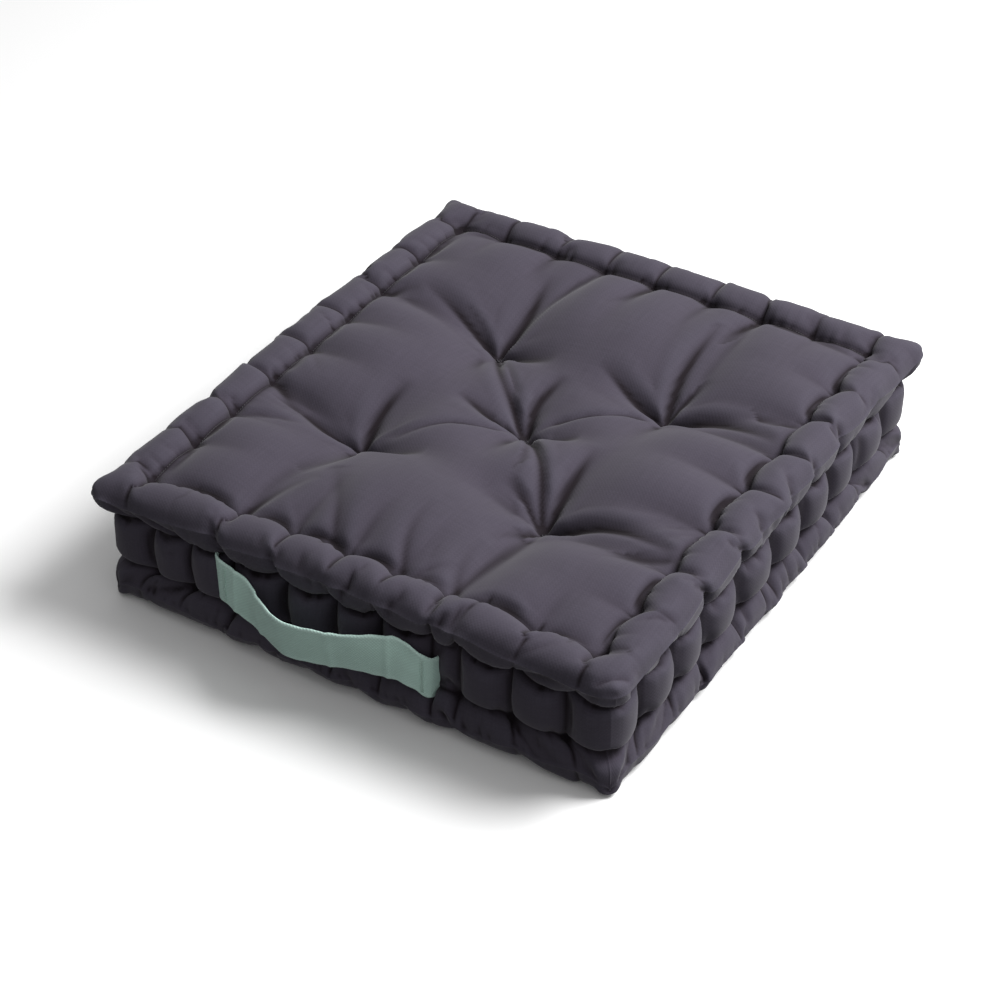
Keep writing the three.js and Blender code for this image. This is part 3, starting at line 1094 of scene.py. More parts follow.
    def _hold_corners(self) -> None:
        """Holds the corner blocks of both rolls rounded, as their many layers of cloth are stiff."""
        cover, reach = self.cover, self.corner_cells
        last_x, last_y = len(cover.x) - 1, len(cover.y) - 1
        fall, rise = self.side_drops
        drop_at = {
            int(grid[i, j]): max(0.0, 1 - (min(i, last_x - i) + min(j, last_y - j)) / (reach + 1))
            for grid in (cover.top, cover.bottom)
            for i in (*range(reach + 1), *range(last_x - reach, last_x + 1))
            for j in (*range(reach + 1), *range(last_y - reach, last_y + 1))
            if min(i, last_x - i) + min(j, last_y - j) <= reach
        }
        for vertex in drop_at:
            x, y, z = (float(value) for value in cover.start[vertex])
            low = int(z < (cover.sizes.top_seam + cover.sizes.bottom_seam) / 2)
            other = int(x <= 0 or y >= 0)
            point = (x, y, max(z - low * self.corner_drop * drop_at[vertex], self.least_height))
            inset, radius = self.corner_insets[low][other], self.corner_radii[low][other]
            self._hold(vertex, self._rounded(point, inset, radius))
        for p, (i, j) in enumerate(cover.ring):
            far = max(min(i, last_x - i), min(j, last_y - j))
            if far > self.corner_columns:
                continue
            lowered = self.corner_drop * (1 - far / (self.corner_columns + 1))
            other = int(i <= last_x / 2 or j >= last_y / 2)
            for k in range(1, cover.n_side):
                v = k / cover.n_side
                inset, turn = self.side_groove * v**self.corner_curve, math.sin(math.pi / 2 * v)
                below = cover.sizes.bottom_seam - lowered + (rise + lowered) * turn
                for low, row, z in (
                    (0, k, cover.sizes.top_seam - fall * turn),
                    (1, len(cover.depth) - 1 - k, below),
                ):
                    margin = inset + self.corner_insets[low][other] * (1 - v)
                    point = self._rounded(
                        cover.border_point(p, inset, z), margin, self.corner_radii[low][other]
                    )
                    self._hold(cover.rows[row][p], point)

    def _hold_tufts(self) -> None:
        """Draws both panels in at the tufts."""
        cover, sizes, cells = self.cover, self.cover.sizes, self.tuft_cells
        inner_x, inner_y = sizes.half_x - cover.roll_width, sizes.half_y - cover.roll_width
        for _, tx, ty in cover.stitching.tufts:
            i0 = nearest(cover.x, tx * (cover.x[-1] - cover.cloth_face_roll) / inner_x)
            j0 = nearest(cover.y, ty * (cover.y[-1] - cover.cloth_face_roll) / inner_y)
            for i in range(i0 - cells, i0 + cells + 1):
                for j in range(j0 - cells, j0 + cells + 1):
                    dx, dy = cover.x[i] - cover.x[i0], cover.y[j] - cover.y[j0]
                    far = math.hypot(dx, dy)
                    if far <= self.tuft_reach:
                        x, y = tx + dx * self.tuft_gather, ty + dy * self.tuft_gather
                        self._hold(cover.top[i, j], (x, y, self.tuft_top + far * self.tuft_slope))
                        self._hold(cover.bottom[i, j], (x, y, self.tuft_bottom - far * self.tuft_slope))


@dataclass
class ClothRun:
    """The cloth simulation that fills the gathered cover.

    The cloth takes its true lengths from the flat-cut shape on the first frame. It is drawn into the gathered
    shape over the next three frames with every vertex held, and is then let go except where the pulls hold.
    """

    cover: FlatCover
    pulls: Pulls
    frames: int = 25
    gathered_at: int = 4
    freed_at: int = 7
    pressure: float = 3500.0
    mass: float = 0.02
    tension: float = 300.0
    compression: float = 60.0
    shear: float = 8.0
    bending: float = 0.05
    damping: float = 8.0

    def run(self) -> Array:
        """Runs the simulation and removes everything it needed.

        Returns:
            Vertex positions of the filled cover in millimetres.
        """
        mesh = bpy.data.meshes.new("filling_run")
        mesh.from_pydata((self.pulls.target / MM).tolist(), [], self.cover.faces.tolist())
        mesh.update()
        cloth = bpy.data.objects.new("filling_run", mesh)
        scene = bpy.context.scene
        scene.collection.objects.link(cloth)
        cloth.shape_key_add(name="Basis")
        flat = cloth.shape_key_add(name="Flat")
        flat.data.foreach_set("co", (self.cover.flat / MM).astype(np.float32).ravel())
        flat.value = 1.0
        flat.keyframe_insert("value", frame=1)
        flat.value = 0.0
        flat.keyframe_insert("value", frame=self.gathered_at)
        held = cloth.vertex_groups.new(name="held")
        held.add(np.nonzero(self.pulls.held)[0].tolist(), 1.0, "REPLACE")
        cloth.vertex_groups.new(name="all").add(list(range(len(mesh.vertices))), 1.0, "REPLACE")
        mix = cloth.modifiers.new("Hold", "VERTEX_WEIGHT_MIX")
        mix.vertex_group_a, mix.vertex_group_b = "held", "all"
        mix.mix_set, mix.mix_mode = "ALL", "SET"
        mix.default_weight_a, mix.default_weight_b = 0.0, 1.0
        mix.mask_constant = 1.0
        mix.keyframe_insert("mask_constant", frame=self.freed_at - 1)
        mix.mask_constant = 0.0
        mix.keyframe_insert("mask_constant", frame=self.freed_at)
        modifier = cloth.modifiers.new("Cloth", "CLOTH")
        self._set(modifier)
        scene.frame_start, scene.frame_end = 1, self.frames
        for number in range(1, self.frames + 1):
            scene.frame_set(number)
        final = cloth.evaluated_get(bpy.context.evaluated_depsgraph_get())
        out = np.empty(len(mesh.vertices) * 3, np.float32)
        final.data.vertices.foreach_get("co", out)
        bpy.data.objects.remove(cloth, do_unlink=True)
        bpy.data.meshes.remove(mesh)
        for action in list(bpy.data.actions):
            bpy.data.actions.remove(action)
        scene.frame_set(1)
        return out.reshape(-1, 3).astype(float) * MM

    def _set(self, modifier: bpy.types.ClothModifier) -> None:
        """Gives the modifier the cloth's own properties.

        Args:
            modifier: The cloth modifier.
        """
        s = modifier.settings
        s.quality, s.mass, s.air_damping = 5, self.mass, 2.0
        s.tension_stiffness, s.compression_stiffness = self.tension, self.compression
        s.shear_stiffness, s.bending_stiffness = self.shear, self.bending
        s.tension_damping = s.compression_damping = s.shear_damping = self.damping
        s.bending_damping = 0.5
        s.use_pressure, s.uniform_pressure_force = True, self.pressure
        s.vertex_group_mass, s.pin_stiffness = "held", 1.0
        s.effector_weights.gravity = 0.0
        modifier.collision_settings.use_collision = False
        modifier.collision_settings.use_self_collision = False
        modifier.point_cache.frame_start, modifier.point_cache.frame_end = 1, self.frames


# ------------------------------------------------------------------------------------- sewn creases


@dataclass(frozen=True)
class Hollow:
    """One size of hollow that is painted darker as shade: where it starts to count, where it is full, and its
    weight.
    """

    least: float
    span: float
    weight: float

    def darkness(self, depth: Array) -> Array:
        """Painted shade of points that lie this deep in hollows of this size."""
        return np.clip((depth - self.least) / self.span, 0, 1) * self.weight


@dataclass
class SewnMesh:
    """The filled cover as one fine mesh, before it is parted into its panels."""

    co: Array
    quads: Array
    panel: Array
    uv: Array
    flat_x: Array
    flat_y: Array
    down: Array
    # Painted shade of the pressed creases, painted shade of all hollows, and rubbed wear on the ridges.
    pressed: Array = field(init=False)
    painted_crease_shade: Array = field(init=False)
    ridge: Array = field(init=False)
    smoothings: tuple[int, int, int] = (3, 16, 60)
    # Each size of hollow is painted darker as shade.
    hollows: tuple[Hollow, Hollow, Hollow] = (
        Hollow(0.0, 0.7, 0.85), Hollow(0.3, 2.4, 0.5), Hollow(1.0, 8.0, 0.4)
    )
    ridge_height: float = 2.2
    ridge_wear: float = 0.7

    @classmethod
    def refine(cls, cover: FlatCover, co: Array) -> "SewnMesh":
        """Subdivides the filled cover once, and keeps each vertex's place on the flat cloth.

        Args:
            cover: The cutting plan.
            co: Filled shape in millimetres.

        Returns:
            The fine mesh.
        """
        mesh = bpy.data.meshes.new("fine")
        mesh.from_pydata((co / MM).tolist(), [], cover.faces.tolist())
        places = {"flat_x": cover.flat[:, 0], "flat_y": cover.flat[:, 1], "down": cover.down}
        for name, values in places.items():
            mesh.attributes.new(name, "FLOAT", "POINT").data.foreach_set("value", values.astype(np.float32))
        mesh.attributes.new("panel", "INT", "FACE").data.foreach_set("value", cover.panel.astype(np.int32))
        mesh.uv_layers.new(name="cloth").data.foreach_set("uv", cover.uv.astype(np.float32).ravel())
        thing = bpy.data.objects.new("fine", mesh)
        bpy.context.scene.collection.objects.link(thing)
        fine = thing.modifiers.new("Fine", "SUBSURF")
        fine.levels = fine.render_levels = 1
        fine.uv_smooth = "NONE"
        shown = thing.evaluated_get(bpy.context.evaluated_depsgraph_get())
        out = shown.to_mesh()
        count, faces = len(out.vertices), len(out.polygons)
        points, quads = np.empty(count * 3, np.float32), np.empty(faces * 4, np.int32)
        uv = np.empty(faces * 8, np.float32)
        out.vertices.foreach_get("co", points)
        out.loops.foreach_get("vertex_index", quads)
        out.uv_layers["cloth"].data.foreach_get("uv", uv)
        read = {}
        for name in places:
            values = np.empty(count, np.float32)
            out.attributes[name].data.foreach_get("value", values)
            read[name] = values.astype(float)
        panel = np.empty(faces, np.int32)
        out.attributes["panel"].data.foreach_get("value", panel)
        shown.to_mesh_clear()
        bpy.data.objects.remove(thing, do_unlink=True)
        bpy.data.meshes.remove(mesh)
        return cls(
            co=points.reshape(-1, 3).astype(float) * MM, quads=quads.reshape(-1, 4), panel=panel,
            uv=uv.reshape(-1, 4, 2), **read
        )

    def mark_wear_and_shade(self) -> None:
        """Works out how deep each point lies in a crease, painted as shade, and how high on a ridge, rubbed
        paler, at three sizes.
        """
        normal = vertex_normals(self.co, self.quads)
        few, some, many = self.smoothings
        fine = np.einsum("ij,ij->i", relax(self.co, self.quads, few) - self.co, normal)
        softer = relax(self.co, self.quads, some)
        broad = np.einsum("ij,ij->i", softer - self.co, normal)
        wide = np.einsum("ij,ij->i", relax(softer, self.quads, many) - self.co, normal)
        small, middle, large = self.hollows
        # Crease depth at three sizes, with the pressed creases, becomes the painted shade.
        self.painted_crease_shade = small.darkness(fine) + middle.darkness(broad)
        self.painted_crease_shade += large.darkness(wide) + self.pressed
        self.painted_crease_shade = np.clip(self.painted_crease_shade, 0, 1)
        self.ridge = np.clip(-broad / self.ridge_height, 0, 1) * self.ridge_wear


@dataclass
class CreasePress:
    """Presses the narrow creases, grooves and seam ridges into the filled cover, and sets how dark the
    creases are painted as shade.
    """

    cover: FlatCover
    mesh: SewnMesh
    pinch_depth: float = 2.8
    pinch_width: float = 1.9
    groove_depth: float = 2.6
    groove_width: float = 2.2
    seam_rise: float = 1.0
    seam_width: float = 1.5
    corner_seam_rise: float = 0.35
    corner_seam_width: float = 2.2
    # How dark the sharpest creases are painted as shade, and how fast that falls off.
    crease_painted_shade: float = 0.85
    crease_curve: float = 1.5
    seed: int = 11
    pinch_end: float = 14.0
    wrinkle_margin: float = 12.0
    wrinkle_gaps: tuple[float, float] = (7.0, 14.0)
    wrinkle_skipped: float = 0.42
    wrinkle_depths: tuple[float, float] = (0.7, 1.9)
    wrinkle_widths: tuple[float, float] = (2.0, 3.0)
    wrinkle_lengths: tuple[float, float] = (12.0, 30.0)
    wrinkle_leans: tuple[float, float] = (-0.3, 0.3)
    wrinkle_shifts: tuple[float, float] = (-5.0, 5.0)
    border_wrinkles: float = 0.5
    star_share: float = 1.35
    # Strength and width of the painted shade along the tuft creases.
    star_painted_shade: float = 0.17
    star_painted_shade_width: float = 2.6
    star_edge: float = 8.0
    star_middle: float = 9.0
    other_grips: tuple[float, float] = (0.25, 0.9)
    front_grips: tuple[float, ...] = (1.2, 0.2, 1.1, 0.45, 0.7, 0.5, 0.95, 0.4, 0.8, 1.15)
    star_arms: tuple[tuple[tuple[Point, ...], float, float], ...] = (
        (((-77, 89), (-100, 100), (-123, 110)), 3.2, 2.4),
        (((-77, 89), (-122, 103), (-168, 116)), 4.6, 2.8),
        (((-77, 89), (-76, 130), (-84, 187)), 4.6, 3.0),
        (((-77, 89), (-50, 86), (-24, 88)), 4.2, 3.0),
        (((-77, 89), (-46, 44), (0, 3)), 4.8, 2.4),
        (((0, 3), (-30, 0), (-64, 8)), 4.8, 2.4),
        (((0, 3), (-9, 36), (-5, 72)), 6.0, 2.8),
        (((0, 3), (22, -2), (46, 7)), 5.0, 2.6),
        (((0, 3), (36, -38), (73, -92)), 4.8, 2.4),
        (((0, 3), (22, -30), (36, -66)), 2.6, 2.4),
        (((-98, -76), (-128, -80), (-158, -74)), 4.8, 2.6),
        (((-98, -76), (-103, -42), (-100, -4)), 5.0, 3.0),
        (((-98, -76), (-70, -82), (-40, -76)), 4.2, 3.0),
        (((-98, -76), (-92, -116), (-104, -150)), 2.4, 3.4),
        (((82, 76), (50, 82), (12, 96)), 5.0, 2.6),
        (((82, 76), (74, 120), (74, 187)), 5.2, 2.6),
        (((82, 76), (88, 98), (98, 122)), 3.0, 2.4),
        (((82, 76), (122, 82), (166, 74), (186, 64)), 5.2, 2.6),
        (((73, -92), (50, -80), (28, -72)), 4.2, 2.6),
        (((73, -92), (70, -50), (68, -4)), 5.0, 3.0),
        (((73, -92), (118, -84), (160, -88), (187, -97)), 5.6, 2.6),
        (((73, -92), (62, -124), (58, -146)), 2.4, 3.0),
    )
    panel_folds: tuple[tuple[tuple[Point, ...], float, float], ...] = (
        (((-29, -212), (-52, -170), (-82, -132)), 2.6, 4.0),
        (((-108, -212), (-96, -176), (-84, -150)), 2.4, 3.4),
        (((28, -212), (14, -176), (10, -140)), 2.4, 3.4),
        (((71, -212), (60, -180), (56, -150)), 2.0, 3.4),
        (((187, -97), (150, -110), (128, -128)), 1.8, 4.0),
        (((187, 96), (160, 92), (140, 98)), 1.8, 3.4),
        (((92, 212), (84, 180), (80, 160)), 2.4, 3.0),
        (((-4, 212), (-10, 180), (-22, 156)), 1.8, 3.4),
        (((-187, -60), (-166, -72), (-146, -76)), 2.0, 3.4),
        (((-187, 95), (-176, 104), (-160, 110)), 2.0, 3.4),
    )

    def press(self) -> None:
        """Presses everything in, one kind after the other."""
        grooves, pinches = self._grooves(), self._pinches()
        sharp = np.maximum(grooves / self.groove_depth, pinches / self.pinch_depth)
        # Painted shade: the sharpest grooves and pinches are painted darker.
        self.mesh.pressed = self.crease_painted_shade * np.clip(sharp, 0, 1) ** self.crease_curve
        push = grooves + pinches + self._small_wrinkles() - self._seams()
        self.mesh.co = self.mesh.co - vertex_normals(self.mesh.co, self.mesh.quads) * push[:, None]
        self._stars()

    def _sides(self) -> dict[Side, tuple[Array, Array]]:
        """For each side, which vertices lie on it, and their place along its flat cloth.

        Returns:
            Side to a mask and the flat coordinate along the side.
        """
        m, cover = self.mesh, self.cover
        from_x, from_y = cover.x[-1] - np.abs(m.flat_x), cover.y[-1] - np.abs(m.flat_y)
        along_x = from_y <= from_x
        return {
            Side.FRONT: (along_x & (m.flat_y < 0), m.flat_x),
            Side.BACK: (along_x & (m.flat_y > 0), m.flat_x),
            Side.RIGHT: (~along_x & (m.flat_x > 0), m.flat_y),
            Side.LEFT: (~along_x & (m.flat_x < 0), m.flat_y),
        }

    def _down_marks(self) -> tuple[float, ...]:
        """Distances of the grooves and seams from the top seam, along the cloth and downwards."""
        c = self.cover
        total = c.depth[-1]
        return (-c.cloth_face_roll, 0.0, c.cloth_side_roll, total - c.cloth_side_roll, total,
                total + c.cloth_face_roll)

    def _grooves(self) -> Array:
        """Depth of the sewn grooves that run round the cushion."""
        top, _, upper, lower, _, bottom = self._down_marks()
        push = np.zeros(len(self.mesh.co))
        for mark in (top, upper, lower, bottom):
            push += self.groove_depth * np.exp(-np.abs(self.mesh.down - mark) / self.groove_width)
        return push

    def _seams(self) -> Array:
        """Height of the seam ridges, along both rolls and up the four corners."""
        m, cover = self.mesh, self.cover
        _, top, _, _, bottom, _ = self._down_marks()
        rise = np.zeros(len(m.co))
        for mark in (top, bottom):
            rise += self.seam_rise * np.exp(-((m.down - mark) / self.seam_width) ** 2)
        to_corner = (cover.x[-1] - np.abs(m.flat_x)) + (cover.y[-1] - np.abs(m.flat_y))
        on_border = (m.down > top + 1) & (m.down < bottom - 1)
        rise += on_border * self.corner_seam_rise * np.exp(-((to_corner / self.corner_seam_width) ** 2))
        return rise

    def _pinches(self) -> Array:
        """Depth of the creases that cross the rolls and run up the border at each stitch."""
        m, cover = self.mesh, self.cover
        top, seam, upper, lower, low_seam, bottom = self._down_marks()
        knots = [top - self.pinch_end, top, top / 2, seam, upper / 2, upper, (upper + lower) / 2, lower,
                 (lower + low_seam) / 2, low_seam, (low_seam + bottom) / 2, bottom, bottom + self.pinch_end]
        share = [0, 1.1, 0.9, 0.15, 0.8, 1.0, 0.9, 1.0, 0.8, 0.15, 0.9, 1.1, 0]
        depth = self.pinch_depth * np.interp(m.down, knots, share)
        rng = np.random.default_rng(self.seed + 1)
        push = np.zeros(len(m.co))
        for side, (mask, along) in self._sides().items():
            lines = cover.x if side in (Side.FRONT, Side.BACK) else cover.y
            grips = iter(self.front_grips if side is Side.FRONT else rng.uniform(*self.other_grips, 12))
            for place in cover.stitching.places(side):
                at_face = lines[cover.nearest_column(side, place, False)]
                at_border = lines[cover.nearest_column(side, place, True)]
                down = np.where(m.down > low_seam, low_seam - m.down, m.down)
                middle = np.interp(
                    down, [top, top * 0.55, top * 0.45, 0], [at_face, at_face, at_border, at_border]
                )
                over = (m.down < seam) | (m.down > low_seam)
                grip = np.where(over, next(grips), 1.0)
                crease = depth * grip * np.exp(-np.abs(along - middle) / self.pinch_width)
                push = np.where(mask, np.maximum(push, crease), push)
        return push

    def _small_wrinkles(self) -> Array:
        """Depth of short puckers where the cloth is gathered into the grooves."""
        m, rng = self.mesh, np.random.default_rng(self.seed)
        top, _, upper, lower, low_seam, bottom = self._down_marks()
        push = np.zeros(len(m.co))
        rows = ((top, 1), (upper, -1), (lower, 1), (low_seam, -1), (bottom, -1), (upper, 1))
        for side, (mask, along) in self._sides().items():
            half = self.cover.x[-1] if side in (Side.FRONT, Side.BACK) else self.cover.y[-1]
            place = -half + self.wrinkle_margin
            while place < half - self.wrinkle_margin:
                for start, way in rows:
                    if rng.random() < self.wrinkle_skipped:
                        continue
                    depth, width = rng.uniform(*self.wrinkle_depths), rng.uniform(*self.wrinkle_widths)
                    length, lean = rng.uniform(*self.wrinkle_lengths), rng.uniform(*self.wrinkle_leans)
                    shift = rng.uniform(*self.wrinkle_shifts)
                    if (start, way) in ((upper, 1), (lower, 1)):
                        depth *= self.border_wrinkles
                    far = way * (m.down - start)
                    fade = np.clip(1 - far / length, 0, 1) * (far >= 0)
                    crease = depth * fade * np.exp(-((along - place - shift - lean * far) / width) ** 2)
                    push += np.where(mask, crease, 0)
                place += rng.uniform(*self.wrinkle_gaps)
        return push

    def _stars(self) -> None:
        """Presses the creases that run out from the tufts and in from the grooves, and paints shade along
        them.
        """
        m = self.mesh
        inside = np.nonzero(m.down < -self.cover.cloth_face_roll - 1)[0]
        flat = m.co[inside, :2]
        edge = np.clip((-m.down[inside] - self.cover.cloth_face_roll) / self.star_edge, 0, 1)
        drop, dark = np.zeros(len(inside)), np.zeros(len(inside))
        for path, depth, width in self.star_arms + self.panel_folds:
            curve = smooth_path(np.array(path), 6)
            gap, place = along_path(flat, curve)
            both_ends = path[-1] in [(tx, ty) for _, tx, ty in self.cover.stitching.tufts]
            fade = 0.45 + 0.55 * np.cos(math.pi * place) ** 2 if both_ends else (1 - place) ** 0.8
            spread = 1.5 * width * (0.8 + 0.8 * place)
            # A valley with a low bank on either side.
            bank = np.exp(-(((gap - 2.6 * spread) / (1.3 * spread)) ** 2))
            cut = self.star_share * depth * fade * (np.exp(-((gap / spread) ** 2)) - 0.3 * bank)
            drop = np.where(np.abs(drop) > np.abs(cut), drop, cut)
            # Painted shade along each crease, darkest at its middle.
            tint = self.star_painted_shade * depth * fade * np.exp(-((gap / self.star_painted_shade_width) ** 2))
            dark = np.maximum(dark, tint)
        low = [np.hypot(flat[:, 0] - tx, flat[:, 1] - ty) for _, tx, ty in self.cover.stitching.tufts]
        near = np.clip(np.min(low, axis=0) / self.star_middle, 0, 1)
        m.co[inside, 2] -= drop * edge * near
        # The creases cross the cells of the mesh at a slant, so they are smoothed where they are deep.
        smooth = relax(m.co, m.quads, 2)
        m.co[inside] += (smooth[inside] - m.co[inside]) * np.clip(np.abs(drop) / 1.5, 0, 1)[:, None] * 0.8
        m.pressed[inside] += dark * edge


# ------------------------------------------------------------------------------------------- pieces


@dataclass
class Cover:
    """The sewn cover: top and bottom panels and four border strips, and the wadding inside it."""

    sizes: CushionSizes
    stitching: Stitching
    cotton: bpy.types.Material
    wadding: bpy.types.Material
    thickness: float = 0.7
    fill: float = 0.85
    least_inner: float = 0.3
    wadding_gap: float = 9.0
    wadding_floor: float = 2.0
    mesh: SewnMesh = field(init=False)
    cloth: FlatCover = field(init=False)
    names: dict = field(default_factory=lambda: {
        Panel.TOP: ("top_cloth", "top_panel"),
        Panel.BOTTOM: ("bottom_cloth", "bottom_panel"),
        Panel.FRONT: ("border_cloth_front", "border_front"),
        Panel.RIGHT: ("border_cloth_right", "border_right"),
        Panel.BACK: ("border_cloth_back", "border_back"),
        Panel.LEFT: ("border_cloth_left", "border_left"),
    })

    def fill_out(self) -> None:
        """Cuts, gathers, fills and creases the cover."""
        cover = FlatCover(self.sizes, self.stitching)
        pulls = Pulls(cover)
        filled = ClothRun(cover, pulls).run()
        self.cloth = cover
        self.mesh = SewnMesh.refine(cover, filled)
        CreasePress(cover, self.mesh).press()
        self._set_down()
        self.mesh.mark_wear_and_shade()

    def _set_down(self) -> None:
        """Flattens what would lie below the floor, with a soft edge."""
        z = self.mesh.co[:, 2]
        soft = 2.0
        self.mesh.co[:, 2] = np.where(z < soft, soft * np.exp(np.minimum(z - soft, 0) / soft), z)

    def build(self) -> list[bpy.types.Object]:
        """Makes the six cloth pieces and the wadding.

        Returns:
            The pieces.
        """
        self.fill_out()
        pieces = [self._panel_piece(panel) for panel in Panel]
        pieces.append(self._wadding_piece())
        return pieces

    def _panel_piece(self, panel: Panel) -> bpy.types.Object:
        """Makes one panel as a thin closed shell.

        Args:
            panel: Which one.

        Returns:
            The piece.
        """
        m = self.mesh
        normal = vertex_normals(m.co, m.quads)
        chosen = np.nonzero(m.panel == panel.value)[0]
        used, local = np.unique(m.quads[chosen], return_inverse=True)
        outer = local.reshape(-1, 4)
        count = len(used)
        inner_co = m.co[used] - normal[used] * self.thickness
        inner_co[:, 2] = np.maximum(inner_co[:, 2], self.least_inner)
        edges = np.vstack([outer[:, [k, (k + 1) % 4]] for k in range(4)])
        key = edges[:, 0].astype(np.int64) * count + edges[:, 1]
        back = edges[:, 1].astype(np.int64) * count + edges[:, 0]
        rim = edges[~np.isin(key, back)]
        faces = np.vstack([outer, outer[:, ::-1] + count,
                           np.stack([rim[:, 1], rim[:, 0], rim[:, 0] + count, rim[:, 1] + count], axis=1)])
        name, node = self.names[panel]
        shell = self.sizes.to_frame(np.vstack([m.co[used], inner_co]))
        piece = make_piece(name, shell, faces.tolist(), self.cotton)
        mesh = piece.data
        uv_of = np.zeros((count, 2))
        uv_of[outer.ravel()] = m.uv[chosen].reshape(-1, 2)
        uv = np.vstack([m.uv[chosen], m.uv[chosen][:, ::-1], uv_of[faces[2 * len(outer):] % count]])
        mesh.uv_layers.new(name="cloth").data.foreach_set("uv", uv.astype(np.float32).ravel())
        # The painted crease shade and the rubbed ridges are handed to the material as attributes.
        for label, values in (("painted_crease_shade", m.painted_crease_shade), ("ridge", m.ridge)):
            mesh.attributes.new(label, "FLOAT", "POINT").data.foreach_set(
                "value", np.concatenate([values[used], values[used]]).astype(np.float32))
        pair = np.empty(len(mesh.edges) * 2, np.int32)
        mesh.edges.foreach_get("vertices", pair)
        pair = np.sort(pair.reshape(-1, 2), axis=1).astype(np.int64)
        loops = np.sort(np.vstack([rim, rim + count]), axis=1).astype(np.int64)
        sharp = np.isin(pair[:, 0] * 2 * count + pair[:, 1], loops[:, 0] * 2 * count + loops[:, 1])
        mesh.attributes.new("sharp_edge", "BOOLEAN", "EDGE").data.foreach_set("value", sharp)
        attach(piece, "cushion")
        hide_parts(node)
        return piece

    def _wadding_piece(self) -> bpy.types.Object:
        """Makes the wadding, a softer and smaller copy of the cover.

        Returns:
            The piece.
        """
        m = self.mesh
        soft = relax(m.co, m.quads, 10)
        inside = relax(soft - vertex_normals(soft, m.quads) * self.wadding_gap, m.quads, 3)
        inside[:, 2] = np.maximum(inside[:, 2], self.wadding_floor)
        piece = make_piece("wadding_fill", self.sizes.to_frame(inside), m.quads.tolist(), self.wadding)
        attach(piece, "cushion")
        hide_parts("wadding")
        return piece

    def groove_path(self, side: Side, upper: bool) -> Array:
        """Line of the groove between panel and roll along one side.

        Args:
            side: The side.
            upper: True for the top panel.

        Returns:
            Rows of points on the cloth, from one corner to the other, in millimetres.
        """
        m, c = self.mesh, self.cloth
        mark = -c.cloth_face_roll if upper else c.depth[-1] + c.cloth_face_roll
        limit_x, limit_y = c.x[-1] - c.cloth_face_roll, c.y[-1] - c.cloth_face_roll
        on = np.abs(m.down - mark) < 0.2
        if side in (Side.FRONT, Side.BACK):
            sign = 1 if side is Side.BACK else -1
            on &= (np.abs(m.flat_y - sign * limit_y) < 0.2) & (np.abs(m.flat_x) < limit_x + 0.2)
            order = m.flat_x
        else:
            sign = 1 if side is Side.RIGHT else -1
            on &= (np.abs(m.flat_x - sign * limit_x) < 0.2) & (np.abs(m.flat_y) < limit_y + 0.2)
            order = m.flat_y
        found = np.nonzero(on)[0]
        return m.co[found[np.argsort(order[found])]]

    def front_at(self, x: float, low: float, high: float) -> float:
        """How far forward the cloth of the front comes near one place.

        Args:
            x: Place in the CAD frame.
            low: Lowest height that counts.
            high: Greatest height that counts.

        Returns:
            The lowest y of the cloth there, in CAD millimetres.
        """
        co, down = self.sizes.to_frame(self.mesh.co) * MM, self.mesh.down
        near = (np.abs(co[:, 0] - x) < self.cloth.cell) & (co[:, 2] > low) & (co[:, 2] < high)
        near &= co[:, 1] < self.sizes.middle_y
        roll = self.cloth.cloth_side_roll
        near &= (down > roll) & (down < self.cloth.depth[-1] - roll)
        return float(co[near, 1].min(initial=0.0))

    def height_at(self, x: float, y: float, upper: bool) -> float:
        """Height of the cloth nearest to a place on a panel.

        Args:
            x: Place.
            y: Place.
            upper: True for the top panel.

        Returns:
            Height in millimetres.
        """
        m = self.mesh
        of_panel = m.down < -self.cloth.cloth_face_roll if upper else m.down > self.cloth.depth[-1]
        gap = np.hypot(m.co[:, 0] - x, m.co[:, 1] - y) + np.where(of_panel, 0, 1e6)
        return float(m.co[np.argmin(gap), 2])


@dataclass
class EdgeTwines:
    """The eight lengths of waxed twine that are drawn along the grooves of both panels."""

    sizes: CushionSizes
    cover: Cover
    twine: bpy.types.Material
    radius: float = 0.6
    ply_turns_per_mm: float = 0.22
    ply_depth: float = 0.22
    sunk: float = 0.5

    def build(self) -> list[bpy.types.Object]:
        """Makes the twines.

        Returns:
            The pieces.
        """
        angle = np.linspace(0, 2 * math.pi, 10, endpoint=False)
        spread = self.radius * (1 - self.ply_depth + self.ply_depth * np.cos(2 * angle))
        outline = np.stack([spread * np.cos(angle), spread * np.sin(angle)], axis=1)
        pieces = []
        for upper, word in ((True, "top"), (False, "bottom")):
            for side in Side:
                line = self.cover.groove_path(side, upper)
                line[:, 2] += (self.radius - self.sunk) * (1 if upper else -1)
                line[:, 2] = np.maximum(line[:, 2], self.radius)
                path = smooth_path(line[::2], 4)
                co, faces = tube_rings(path, outline, self.ply_turns_per_mm)
                name = f"groove_twine_{word}_{side.value}"
                piece = make_piece(name, self.sizes.to_frame(co), faces, self.twine)
                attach(piece, "cushion")
                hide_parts(f"edge_twine_{word}_{side.value}")
                pieces.append(piece)
        return pieces


